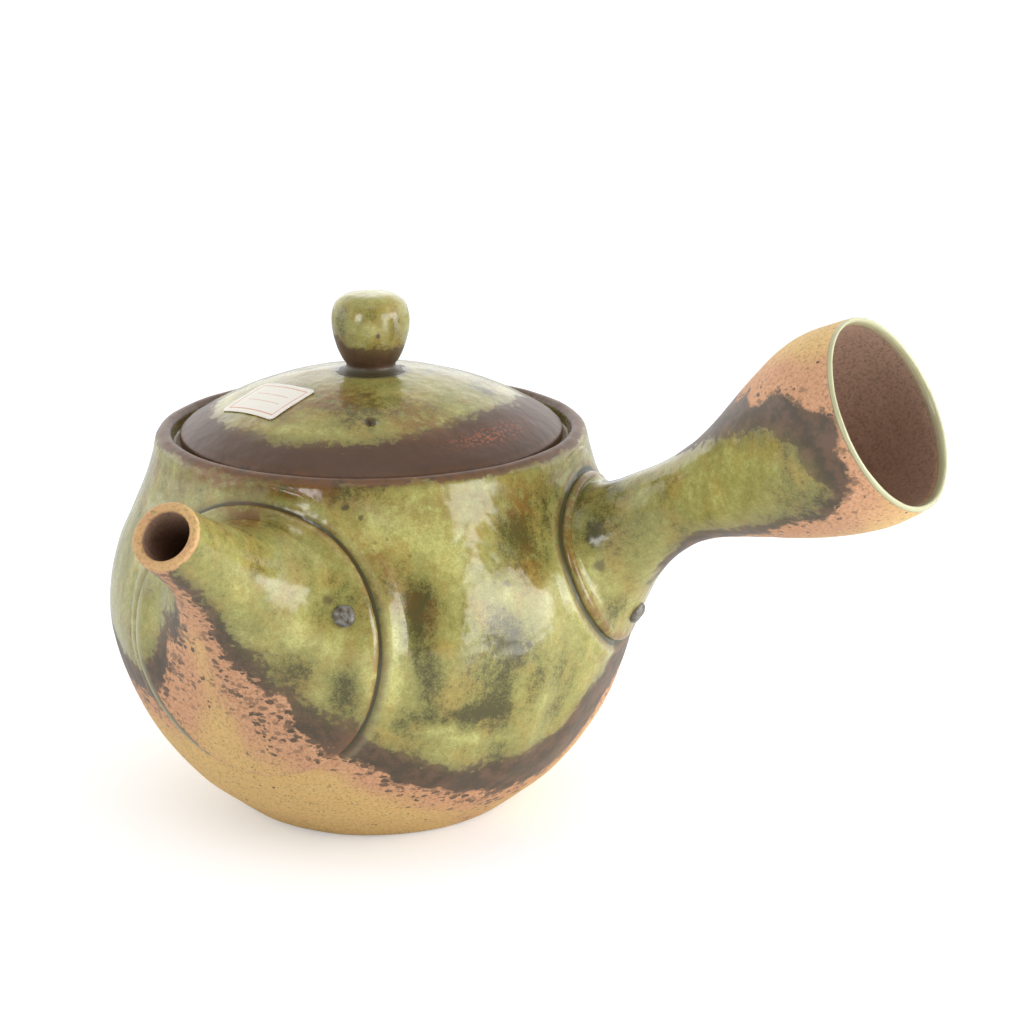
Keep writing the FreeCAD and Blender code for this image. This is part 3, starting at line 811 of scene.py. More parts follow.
def drawn_profile(name, points):
    """Line of edges in the plane of X and Z, drawn by extruding one vertex."""
    deselect()
    bpy.ops.mesh.primitive_plane_add(size=MM)
    piece = bpy.context.object
    piece.name = name
    bpy.ops.object.mode_set(mode="EDIT")
    bpy.ops.mesh.select_all(action="SELECT")
    bpy.ops.mesh.merge(type="CENTER")
    places = [Vector((r * MM, 0, z * MM)) for r, z in points]
    bpy.ops.transform.translate(value=places[0])
    for here, there in zip(places, places[1:]):
        bpy.ops.mesh.extrude_vertices_move(TRANSFORM_OT_translate={"value": there - here})
    return piece


def spun(name, points, rings=ROUND):
    """Profile turned a full turn about the upright axis."""
    piece = drawn_profile(name, points)
    bpy.ops.mesh.select_all(action="SELECT")
    bpy.ops.mesh.spin(steps=rings, angle=FULL_TURN, center=(0, 0, 0), axis=(0, 0, 1))
    return closed(piece)


def swept(name, rings):
    """Ring of edges extruded from ring to ring and set on the points of each."""
    deselect()
    bpy.ops.mesh.primitive_circle_add(vertices=len(rings[0]), radius=MM)
    piece = bpy.context.object
    piece.name = name
    bpy.ops.object.mode_set(mode="EDIT")
    mesh = bmesh.from_edit_mesh(piece.data)
    place = mesh.verts.layers.int.new("place")
    for index, vertex in enumerate(mesh.verts):
        vertex[place] = index
    bpy.ops.mesh.select_all(action="SELECT")
    for number, ring in enumerate(rings):
        if number:
            bpy.ops.mesh.extrude_edges_move()
        mesh = bmesh.from_edit_mesh(piece.data)
        place = mesh.verts.layers.int["place"]
        mesh.verts.ensure_lookup_table()
        for index in range(-len(ring), 0):
            vertex = mesh.verts[index]
            if not vertex.select:
                raise RuntimeError("the newest ring isn't the selected one")
            vertex.co = ring[vertex[place]] * MM
    bmesh.update_edit_mesh(piece.data)
    return closed(piece)


def closed(piece):
    """Joins coinciding points and turns the faces outwards."""
    bpy.ops.mesh.select_all(action="SELECT")
    bpy.ops.mesh.remove_doubles(threshold=1e-6)
    bpy.ops.mesh.normals_make_consistent(inside=False)
    bpy.ops.object.mode_set(mode="OBJECT")
    return piece


def smooth(piece):
    """Shades a piece smooth."""
    only(piece)
    bpy.ops.object.shade_smooth()


def cut_out(piece, cutter):
    """Takes the cutter's room out of the piece and removes the cutter."""
    only(piece)
    cut = piece.modifiers.new("Cut", "BOOLEAN")
    cut.object, cut.operation, cut.solver = cutter, "DIFFERENCE", "EXACT"
    bpy.ops.object.modifier_apply(modifier=cut.name)
    bpy.data.objects.remove(cutter)


def points_of(piece):
    """The piece's points in millimetres."""
    flat = np.zeros(len(piece.data.vertices) * 3)
    piece.data.vertices.foreach_get("co", flat)
    return millimetres(flat.reshape(-1, 3))


def set_points(piece, points):
    """Moves the piece's points to places in millimetres."""
    piece.data.vertices.foreach_set("co", (points * MM).ravel())
    piece.data.update()


def store(piece, **given):
    """Keeps one number per point under each name, for the materials."""
    points = points_of(piece)
    fields = dict.fromkeys(("pool", "rust", "inside", "celadon", "flush", "umber", "calm"), 0)
    fields["tone"] = tone_of(points)
    fields.update(given)
    fields["rust"] = np.maximum(fields["rust"], placed(points, BROWN_PLACES))
    for name, values in fields.items():
        attribute = piece.data.attributes.new(name, "FLOAT", "POINT")
        values = np.broadcast_to(np.asarray(values, np.float32), len(points))
        attribute.data.foreach_set("value", np.ascontiguousarray(values))


def nearest(points, targets):
    """For each point the index of the nearest target."""
    tree = KDTree(len(targets))
    for index, target in enumerate(targets):
        tree.insert(target, index)
    tree.balance()
    return np.array([tree.find(point)[1] for point in points])


def by_ring(values, match):
    """Each point's value, from a value for each ring."""
    return np.repeat(values, ROUND)[match]


def limb(name, rings):
    """Swept limb, the ring point that each of its points comes from, and the roll there."""
    piece = swept(name, rings)
    ripple(piece, 0.25, 8)
    match = nearest(points_of(piece), np.vstack(rings))
    return piece, match, np.degrees(np.tile(angles(), len(rings)))[match]


def ripple(piece, strength, size):
    """Slight unevenness of a hand-thrown wall, with its strength and size in millimetres."""
    clouds = bpy.data.textures.new(piece.name + "_unevenness", "CLOUDS")
    clouds.noise_scale = size * MM
    only(piece)
    push = piece.modifiers.new("Unevenness", "DISPLACE")
    push.texture, push.texture_coords = clouds, "LOCAL"
    push.strength, push.mid_level = strength * MM, 0.5
    bpy.ops.object.modifier_apply(modifier=push.name)
    bpy.data.textures.remove(clouds)


def dress(piece, body, slot, material, *stood_for):
    """Gives a finished piece its material, body and the solids it stands for. The slot is not used."""
    smooth(piece)
    piece.data.materials.clear()
    piece.data.materials.append(material)
    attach(piece, body)
    if stood_for:
        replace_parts(piece, *stood_for)


# Shader nodes


def feed(made, inputs):
    """Puts values or other nodes' sockets on the inputs of a node."""
    for key, value in inputs.items():
        if isinstance(value, bpy.types.NodeSocket):
            made.id_data.links.new(value, made.inputs[key])
        else:
            made.inputs[key].default_value = value
    return made


def node(tree, kind, inputs=None, **settings):
    """Node of a tree, with its settings and inputs."""
    made = tree.nodes.new("ShaderNode" + kind)
    for name, value in settings.items():
        setattr(made, name, value)
    return feed(made, inputs or {})


def maths(tree, operation, *values):
    """Result of a maths node."""
    return node(tree, "Math", dict(enumerate(values)), operation=operation).outputs[0]


def plus(tree, first, second):
    return maths(tree, "ADD", first, second)


def minus(tree, first, second):
    return maths(tree, "SUBTRACT", first, second)


def times(tree, first, second):
    return maths(tree, "MULTIPLY", first, second)


def ranged(tree, value, low, high, start=0.0, end=1.0):
    """Value carried from one range to another and held within it, with soft ends."""
    inputs = {"Value": value, "From Min": low, "From Max": high, "To Min": start, "To Max": end}
    return node(tree, "MapRange", inputs, interpolation_type="SMOOTHSTEP").outputs[0]


def noise(tree, vector, size, detail=3.0, roughness=0.55):
    """Noise whose patches are of the size in millimetres."""
    inputs = {"Vector": vector, "Scale": 1 / (size * MM), "Detail": detail, "Roughness": roughness}
    return node(tree, "TexNoise", inputs).outputs["Fac"]


def blended(tree, share, first, second):
    """Colour between two colours."""
    return node(tree, "Mix", {0: share, 6: first, 7: second}, data_type="RGBA").outputs[2]


def blended_value(tree, share, first, second):
    """Number between two numbers."""
    return node(tree, "Mix", {0: share, 2: first, 3: second}, data_type="FLOAT").outputs[0]


def cells(tree, vector, size):
    """Cells of the size in millimetres."""
    return node(tree, "TexVoronoi", {"Vector": vector, "Scale": 1 / (size * MM)})


def bumped(tree, height, strength, distance):
    """Surface direction on a height, which is as deep as the distance in millimetres."""
    inputs = {"Height": height, "Strength": strength, "Distance": distance * MM}
    return node(tree, "Bump", inputs).outputs[0]


def shaken(tree, vector, moved, size, far):
    """Vector moved about by noise of the size and as far as given, in millimetres."""
    inputs = {"Vector": vector, "Scale": 1 / (size * MM), "Detail": 2.0}
    shift = node(tree, "TexNoise", inputs).outputs["Color"]
    shift = node(tree, "VectorMath", {0: shift, 1: (0.5, 0.5, 0.5)}, operation="SUBTRACT").outputs[0]
    shift = node(tree, "VectorMath", {0: shift, "Scale": far * MM}, operation="SCALE").outputs[0]
    return node(tree, "VectorMath", {0: moved, 1: shift}, operation="ADD").outputs[0]


def new_group(name, inputs, outputs):
    """Empty node group with named sockets, and its input and output nodes."""
    tree = bpy.data.node_groups.new(name, "ShaderNodeTree")
    for direction, sockets in (("INPUT", inputs), ("OUTPUT", outputs)):
        for label, kind in sockets:
            tree.interface.new_socket(label, in_out=direction, socket_type="NodeSocket" + kind)
    return tree, tree.nodes.new("NodeGroupInput"), tree.nodes.new("NodeGroupOutput")


def in_place(tree, group, inputs):
    """A node group placed in a tree."""
    return feed(node(tree, "Group", node_tree=group), inputs)


def stretched(tree, vector, across, upright):
    """Vector scaled, so that a pattern on it is drawn out."""
    return node(tree, "Mapping", {"Vector": vector, "Scale": (across, across, upright)}).outputs[0]


def glaze_clouds():
    """Mottled green of the ash glaze, with runs down the wall and fine pores."""
    name = "Glaze clouds"
    if name in bpy.data.node_groups:
        return bpy.data.node_groups[name]
    tints = [(tint, "Color") for tint in ("Olive", "Yellow", "Amber", "Shade")]
    inputs = [("Vector", "Vector"), ("Tone", "Float"), *tints]
    tree, given, out = new_group(name, inputs, [("Color", "Color")])
    vector = given.outputs["Vector"]
    clouds = noise(tree, vector, 15, 2, 0.5)
    runs = noise(tree, stretched(tree, vector, 1.0, 0.35), 4.5, 2, 0.5)
    curds = noise(tree, vector, 1.4, 2, 0.5)
    grain = noise(tree, vector, 0.4, 2, 0.5)
    thick = times(tree, given.outputs["Tone"], 0.15)
    for pattern, share in ((clouds, 0.24), (runs, 0.26), (curds, 0.22), (grain, 0.24)):
        thick = plus(tree, thick, times(tree, pattern, share))
    drift = ranged(tree, noise(tree, vector, 6, 4, 0.6), 0.42, 0.68, 0.0, 0.6)
    olive = blended(tree, drift, given.outputs["Olive"], given.outputs["Amber"])
    low = blended(tree, ranged(tree, thick, 0.28, 0.50), given.outputs["Shade"], olive)
    full = blended(tree, ranged(tree, thick, 0.46, 0.72), low, given.outputs["Yellow"])
    pores = cells(tree, vector, 2.6).outputs["Distance"]
    sparse = ranged(tree, noise(tree, vector, 6, 2), 0.5, 0.62)
    pinholes = times(tree, ranged(tree, pores, 0.2, 0.08), sparse)
    pinholes = times(tree, pinholes, 0.45)
    feed(out, {"Color": blended(tree, pinholes, full, given.outputs["Shade"])})
    return tree


def clay_grain():
    """Bare clay flushed near the glaze, with grains and iron specks."""
    name = "Clay grain"
    if name in bpy.data.node_groups:
        return bpy.data.node_groups[name]
    tints = [(tint, "Color") for tint in ("Ochre", "Salmon", "Speck")]
    inputs = [("Vector", "Vector"), ("Away", "Float"), *tints]
    tree, given, out = new_group(name, inputs, [("Color", "Color"), ("Height", "Float")])
    vector = given.outputs["Vector"]
    drift = times(tree, minus(tree, noise(tree, vector, 14, 3), 0.5), 12.0)
    away = plus(tree, given.outputs["Away"], drift)
    tone = blended(tree, ranged(tree, away, 2.5, 9.5), given.outputs["Salmon"], given.outputs["Ochre"])
    grain = noise(tree, vector, 0.6, 3, 0.7)
    pale = blended(tree, 0.5, tone, (1.0, 0.86, 0.66, 1.0))
    tone = blended(tree, ranged(tree, grain, 0.5, 0.75, 0.0, 0.35), tone, pale)
    tone = blended(tree, ranged(tree, grain, 0.50, 0.30, 0.0, 0.5), tone, given.outputs["Speck"])
    spots = cells(tree, vector, 2.1).outputs["Distance"]
    fewer = ranged(tree, noise(tree, vector, 4, 2), 0.52, 0.66)
    specks = times(tree, ranged(tree, spots, 0.2, 0.1), fewer)
    feed(out, {"Color": blended(tree, specks, tone, given.outputs["Speck"]), "Height": grain})
    return tree


def flaked_edge():
    """Share of the surface under glaze near its edge, with loose flakes beyond it."""
    name = "Flaked edge"
    if name in bpy.data.node_groups:
        return bpy.data.node_groups[name]
    tree, given, out = new_group(
        name,
        [("Vector", "Vector"), ("Depth", "Float"), ("Flake", "Float"), ("Reach", "Float")],
        [("Mask", "Float")],
    )
    vector, depth = given.outputs["Vector"], given.outputs["Depth"]
    wander = times(tree, minus(tree, noise(tree, vector, 9, 2), 0.5), 7.0)
    depth = plus(tree, depth, wander)
    ragged = minus(tree, noise(tree, vector, 1.6, 4, 0.6), 0.5)
    edge = plus(tree, depth, times(tree, ragged, given.outputs["Flake"]))
    body = ranged(tree, edge, -0.5, 0.4)

    flakes = cells(tree, shaken(tree, vector, stretched(tree, vector, 0.72, 1.25), 0.9, 1.5), 1.3)
    chances = node(tree, "SeparateXYZ", {0: flakes.outputs["Color"]})
    outmost = times(tree, given.outputs["Reach"], -1.0)
    density = maths(tree, "POWER", ranged(tree, depth, outmost, 1.5, 0.0, 1.0), 1.2)
    present = ranged(tree, minus(tree, density, chances.outputs["X"]), 0.0, 0.05)
    reach = plus(tree, times(tree, density, 0.4), 0.26)
    reach = times(tree, reach, ranged(tree, chances.outputs["Y"], 0.0, 1.0, 0.75, 1.3))
    blob = ranged(tree, minus(tree, reach, flakes.outputs["Distance"]), 0.0, 0.22)
    faded = ranged(tree, chances.outputs["Z"], 0.0, 1.0, 0.5, 1.0)
    loose = times(tree, times(tree, present, blob), faded)
    feed(out, {"Mask": maths(tree, "MAXIMUM", body, loose)})
    return tree


def iron_spots():
    """Mask of the iron spots at their places in the glaze."""
    name = "Iron spots"
    if name in bpy.data.node_groups:
        return bpy.data.node_groups[name]
    tree, given, out = new_group(name, [("Vector", "Vector")], [("Mask", "Float")])
    vector = given.outputs["Vector"]
    moved = shaken(tree, vector, vector, 1.5, 1.2)
    total = 0.0
    for place, size, strength in IRON_SPOTS:
        middle = [x * MM for x in place]
        far = node(tree, "VectorMath", {0: moved, 1: middle}, operation="DISTANCE").outputs["Value"]
        spot = ranged(tree, far, size * MM, size * MM * 0.45, 0.0, strength)
        total = maths(tree, "MAXIMUM", total, spot)
    feed(out, {"Mask": total})
    return tree


def new_material(name):
    """Empty material and its surface shader."""
    material = bpy.data.materials.new(name)
    material.use_nodes = True
    tree = material.node_tree
    tree.nodes.clear()
    shader = node(tree, "BsdfPrincipled")
    node(tree, "OutputMaterial", {"Surface": shader.outputs[0]})
    return material, tree, shader


def field(tree, name):
    """The number that store() kept for each point under a name."""
    return node(tree, "Attribute", attribute_name=name, attribute_type="GEOMETRY").outputs["Fac"]


def glazed():
    """Stoneware that is green with ash, smoked at the glaze's edge and bare below it."""
    name = "Ash-glazed stoneware"
    if name in bpy.data.materials:
        return bpy.data.materials[name]
    material, tree, shader = new_material(name)
    tint = colours()
    vector = node(tree, "TexCoord").outputs["Object"]
    depth, green = field(tree, "glaze_depth"), field(tree, "green_depth")

    clouds = in_place(
        tree,
        glaze_clouds(),
        {
            "Vector": vector,
            "Tone": field(tree, "tone"),
            "Olive": tint.olive,
            "Yellow": tint.yellow,
            "Amber": tint.amber,
            "Shade": tint.shade,
        },
    )
    away = times(tree, depth, -1.0)
    clay = in_place(
        tree,
        clay_grain(),
        {"Vector": vector, "Away": away, "Ochre": tint.ochre, "Salmon": tint.salmon, "Speck": tint.smoke},
    )
    plum = ranged(tree, noise(tree, vector, 3.2, 4, 0.65), 0.4, 0.62)
    smoke = blended(tree, plum, tint.smoke, tint.plum)
    smoke = blended(tree, field(tree, "umber"), smoke, tint.umber)
    inputs = {"Vector": vector, "Depth": green, "Flake": 6.0, "Reach": 3.0}
    ash_edge = in_place(tree, flaked_edge(), inputs)
    soft_edge = ranged(tree, green, -2.5, 3.5)
    ash = times(tree, plus(tree, ash_edge.outputs[0], soft_edge), 0.5)
    covered = blended(tree, ash, smoke, clouds.outputs["Color"])
    covered = blended(tree, field(tree, "pool"), covered, tint.pool)
    broken = ranged(tree, noise(tree, vector, 2.2, 4, 0.6), 0.34, 0.56)
    covered = blended(tree, times(tree, field(tree, "rust"), broken), covered, tint.rust)
    specks = ranged(tree, noise(tree, vector, 0.7, 2, 0.6), 0.48, 0.60)
    specks = times(tree, specks, times(tree, field(tree, "flush"), 0.85))
    covered = blended(tree, specks, covered, tint.ember)
    # Painted sheen: pale tint painted as reflections and highlights on rims, edges and ridge crests
    covered = blended(tree, field(tree, "celadon"), covered, tint.celadon)
    spots = in_place(tree, iron_spots(), {"Vector": vector})
    covered = blended(tree, spots.outputs[0], covered, tint.smoke)

    reach = minus(tree, 11.0, times(tree, field(tree, "calm"), 6.0))
    flake = minus(tree, 4.0, times(tree, field(tree, "calm"), 1.0))
    inputs = {"Vector": vector, "Depth": depth, "Flake": flake, "Reach": reach}
    glaze = in_place(tree, flaked_edge(), inputs)
    skin = blended(tree, glaze.outputs[0], clay.outputs["Color"], covered)
    inner = field(tree, "inside")
    speckle = ranged(tree, noise(tree, vector, 0.6, 3, 0.7), 0.34, 0.56, 0.55, 1.0)
    lining = blended(tree, speckle, tint.smoke, tint.inside)
    gloss = blended_value(tree, glaze.outputs[0], 0.62, ranged(tree, ash, 0.0, 1.0, 0.42, 0.17))

    soft = times(tree, noise(tree, vector, 6.0, 2), 1.4)
    fine = times(tree, noise(tree, vector, 0.9, 3), 0.05)
    grain = times(tree, clay.outputs["Height"], minus(tree, 1.0, glaze.outputs[0]))
    height = plus(tree, plus(tree, soft, fine), times(tree, grain, 0.14))
    height = plus(tree, height, times(tree, glaze.outputs[0], 0.12))
    looks = {
        "Base Color": blended(tree, inner, skin, lining),
        "Roughness": blended_value(tree, inner, gloss, 0.66),
        "IOR": 1.55,
        "Normal": bumped(tree, height, 0.35, 0.7),
    }
    feed(shader, looks)
    return material


def bare_clay():
    """Unglazed stoneware of the strainer and the lid's collar."""
    name = "Bare stoneware"
    if name in bpy.data.materials:
        return bpy.data.materials[name]
    material, tree, shader = new_material(name)
    tint = colours()
    vector = node(tree, "TexCoord").outputs["Object"]
    clay = in_place(
        tree,
        clay_grain(),
        {"Vector": vector, "Away": 2.0, "Ochre": tint.ochre, "Salmon": tint.inside, "Speck": tint.smoke},
    )
    tone, height = clay.outputs["Color"], clay.outputs["Height"]
    rough = ranged(tree, height, 0.3, 0.7, 0.55, 0.75)
    feed(shader, {"Base Color": tone, "Roughness": rough, "Normal": bumped(tree, height, 0.4, 0.1)})
    return material


def iron_clay():
    """Glossy iron-rich clay of the pellets, blue-grey where it has cooled."""
    name = "Iron clay"
    if name in bpy.data.materials:
        return bpy.data.materials[name]
    material, tree, shader = new_material(name)
    tint = colours()
    vector = node(tree, "TexCoord").outputs["Object"]
    clouds = noise(tree, vector, 1.3, 4, 0.65)
    tone = blended(tree, ranged(tree, clouds, 0.35, 0.65), tint.pellet, tint.smoke)
    worn = ranged(tree, noise(tree, vector, 0.6, 3), 0.6, 0.72, 0.0, 0.6)
    tone = blended(tree, worn, tone, tint.pool)
    rough = ranged(tree, clouds, 0.35, 0.65, 0.16, 0.34)
    feed(shader, {"Base Color": tone, "Roughness": rough, "Normal": bumped(tree, clouds, 0.5, 0.3)})
    return material


def label_paper():
    """Blank paper label with a printed frame and ruled lines."""
    name = "Label paper"
    if name in bpy.data.materials:
        return bpy.data.materials[name]
    material, tree, shader = new_material(name)
    tint = colours()
    across = node(tree, "SeparateXYZ", {0: node(tree, "UVMap").outputs[0]})
    wide, tall = millimetres(sizes().label_long), millimetres(sizes().label_wide)
    edge_x = times(tree, maths(tree, "ABSOLUTE", minus(tree, across.outputs["X"], 0.5)), wide)
    edge_y = times(tree, maths(tree, "ABSOLUTE", minus(tree, across.outputs["Y"], 0.5)), tall)
    reach = maths(tree, "MAXIMUM", plus(tree, edge_x, (tall - wide) / 2), edge_y)
    inset, half = LABEL_FRAME
    frame_line = maths(tree, "COMPARE", reach, tall / 2 - inset, half)
    inset, offset, half = LABEL_RULES
    short = maths(tree, "LESS_THAN", edge_x, wide / 2 - inset)
    rows = maths(tree, "COMPARE", edge_y, offset, half)
    printed = maths(tree, "MAXIMUM", frame_line, times(tree, short, rows))
    vector = node(tree, "TexCoord").outputs["Object"]
    fibres = noise(tree, vector, 0.5, 4, 0.7)
    patchy = ranged(tree, fibres, 0.3, 0.5, 0.55, 0.9)
    sheet = blended(tree, ranged(tree, fibres, 0.35, 0.7, 0.0, 0.12), tint.paper, tint.ochre)
    sheet = blended(tree, times(tree, printed, patchy), sheet, tint.ink)
    feed(shader, {"Base Color": sheet, "Roughness": 0.55, "Normal": bumped(tree, fibres, 0.25, 0.03)})
    return material


# Glaze fields of the pieces


def placed(points, places):
    """Values that fade round each of the places, at each point."""
    total = np.zeros(len(points))
    for place, wide, tall, value in places:
        away = points - np.array(place)
        far = (away[:, 0] ** 2 + away[:, 1] ** 2) / wide**2 + (away[:, 2] / tall) ** 2
        total += value * np.exp(-(far**1.3))
    return total


def tone_of(points):
    """How much lighter or darker the glaze is at each point."""
    return placed(points, GLAZE_PLACES)


def pot_fields(points):
    """Depth inside the glaze's edge and inside the green, on the pot's outside."""
    heading = heading_of(points)
    depth = points[:, 2] - by_heading(GLAZE_EDGE, heading)
    depth = np.where(np.hypot(points[:, 0], points[:, 1]) < FOOT_GIRTH, -14.0, depth)
    depth = np.where(points[:, 2] < 7, depth + (7 - points[:, 2]) * 0.8, depth)
    below_lip = LIP_TOP - points[:, 2]
    return depth, np.minimum(depth - by_heading(BAND_WIDTH, heading), below_lip * 2.4 - 2.4)


def spout_unrolled(reach, roll):
    """Reach and distance round the spout from its underside."""
    radius = np.interp(reach, [s[0] for s in SPOUT_SECTIONS], [s[3] for s in SPOUT_SECTIONS])
    return reach, np.radians(roll - 180) * radius


def spout_fields(reach, roll):
    """Depth inside the glaze's edge and inside the green, on the spout."""
    places = spout_unrolled(reach, roll % 360)
    fields = []
    for outline in (SPOUT_BARE, SPOUT_SMOKED):
        corners = [spout_unrolled(*corner) for corner in outline]
        fields.append(-inside_distance(corners, *places))
    return fields


def handle_fields(reach, roll):
    """Depth inside the glaze's edge and inside the green, on the handle."""
    round_it = ((roll + 180) % 360 - 180) * HANDLE_ROLL
    fields = []
    for outline in (HANDLE_GLAZED, HANDLE_GREEN):
        corners = [(along, turn * HANDLE_ROLL) for along, turn in outline]
        fields.append(inside_distance(corners, reach, round_it))
    return fields


# Operators, one for each piece


class TEAPOT_OT_pot(bpy.types.Operator):
    """Turn the pot's wall, press the dents into it and open it to the spout"""

    bl_idname = "teapot.pot"
    bl_label = "Pot"

    def execute(self, context):
        outside = through(POT_OUTSIDE)
        within = [through(POT_RIM, 0.5), through(POT_LEDGE, 0.8), through(POT_INSIDE, 1.5)]
        piece = spun("pot", np.vstack([through(POT_FOOT, 1.0), outside, *within]))
        points = points_of(piece)
        girth = np.hypot(points[:, 0], points[:, 1])
        level = np.interp(points[:, 2], outside[:, 1], outside[:, 0])
        outer = (abs(girth - level) < 0.3) & (points[:, 2] > 0.5) & (points[:, 2] < LIP_START)
        push = np.where(outer, dent_depth(points), 0)
        points[:, :2] *= (1 - push / np.maximum(girth, 1))[:, None]
        set_points(piece, points)
        self.open_to_spout(context, piece)
        ripple(piece, 0.22, 9)
        points = points_of(piece)
        points[:, 2] = np.maximum(points[:, 2], 0)
        set_points(piece, points)
        self.keep_fields(piece)
        dress(piece, "pot", "ash_glaze", glazed(), "pot_body")
        return {"FINISHED"}

    def open_to_spout(self, context, piece):
        """Cuts the round hole through the wall behind the spout."""
        out, _, _ = seat_axes(SPOUT_SEAT)
        middle = Vector(np.array(SPOUT_SEAT["centre"]) + out * 50) * MM
        deselect()
        bpy.ops.mesh.primitive_cylinder_add(
            vertices=96, radius=SPOUT_ROOT * MM, depth=26 * MM, location=middle
        )
        cutter = bpy.context.object
        cutter.rotation_mode = "QUATERNION"
        cutter.rotation_quaternion = Vector(out).to_track_quat("Z", "Y")
        context.view_layer.update()
        cut_out(piece, cutter)

    def keep_fields(self, piece):
        """Stores where the pot is glazed, green, rusty, dark and bare inside, with painted shade and light in
        the dents.
        """
        points = points_of(piece)
        depth, green = pot_fields(points)
        girth = np.hypot(points[:, 0], points[:, 1])
        lip = (points[:, 2] > LIP_START) & (girth > LIP_GIRTH)
        wall = pot_girth(points)
        inner = (girth < wall - 1.2) & (points[:, 2] > 1.5) & ~lip
        lip_rust = np.clip(points[:, 2] - 78.2, 0, 0.45)
        neck_rust = np.clip((points[:, 2] - 69) / 16, 0, 0.35)
        store(
            piece,
            glaze_depth=np.where(lip, 9, depth),
            green_depth=green,
            # Tone is darker in the dents' hollows and lighter on their rises: painted shade and light
            tone=tone_of(points) - dent_depth(points) * (girth > wall - 1.0) * 0.6,
            rust=np.where(lip, lip_rust, neck_rust),
            umber=np.clip((points[:, 2] - 73) / 3, 0, 0.8),
            inside=inner.astype(float),
        )


class TEAPOT_OT_ridges(bpy.types.Operator):
    """Lay the clay ridges and grooves round the roots of spout and handle"""

    bl_idname = "teapot.ridges"
    bl_label = "Ridges"

    def execute(self, context):
        self.lay("spout_joint", SPOUT_SEAT, 150, 0.35, 0.6)
        self.lay("handle_joint", HANDLE_SEAT, 170, 0.7, 1.0)
        return {"FINISHED"}

    def lay(self, name, seat, fade, rust, share):
        """Lays one ridge and its groove, which fade where the roll from the top passes the given one."""
        groove, ridge = millimetres(sizes().groove) * share, millimetres(sizes().ridge)
        low = abs((np.degrees(angles()) + 180) % 360 - 180)
        full = 1 - 0.85 * np.clip((low - fade + 20) / 30, 0, 1)
        full *= 0.25 + 0.75 * np.clip((low - 35) / 45, 0, 1)
        rings, pools, rusts, crests = [], [], [], []
        for part, further, lift, pool, stain in RIDGE_SECTION:
            out = part * groove + further
            height = lift * ridge * full if lift > 0.05 else np.full(ROUND, lift)
            if -0.5 < out < groove:
                height = np.maximum(height, GROOVE_FLOOR)
            rings.append(laid_ring(seat, seat["radius"] + out, height))
            pools.append(np.full(ROUND, pool))
            rusts.append(np.full(ROUND, stain * rust))
            crests.append(np.clip(lift, 0, 1) ** 2 * full)
        piece = swept(name, rings)
        points = points_of(piece)
        match = nearest(points, np.vstack(rings))
        depth, green = pot_fields(points)
        pool, rust, crest = (np.concatenate(values)[match] for values in (pools, rusts, crests))
        # The crest is lightened in tone and tinted with the painted sheen, a painted highlight along the
        # ridge; the tone is darker in the dents' hollows and lighter on their rises, painted shade and light
        store(
            piece,
            glaze_depth=depth,
            green_depth=green,
            tone=tone_of(points) - dent_depth(points) * 0.6 + 0.4 * crest,
            pool=pool,
            rust=rust,
            celadon=0.3 * crest * np.clip(rust * 5, 0, 1),
        )
        dress(piece, "pot", "ash_glaze", glazed(), name)


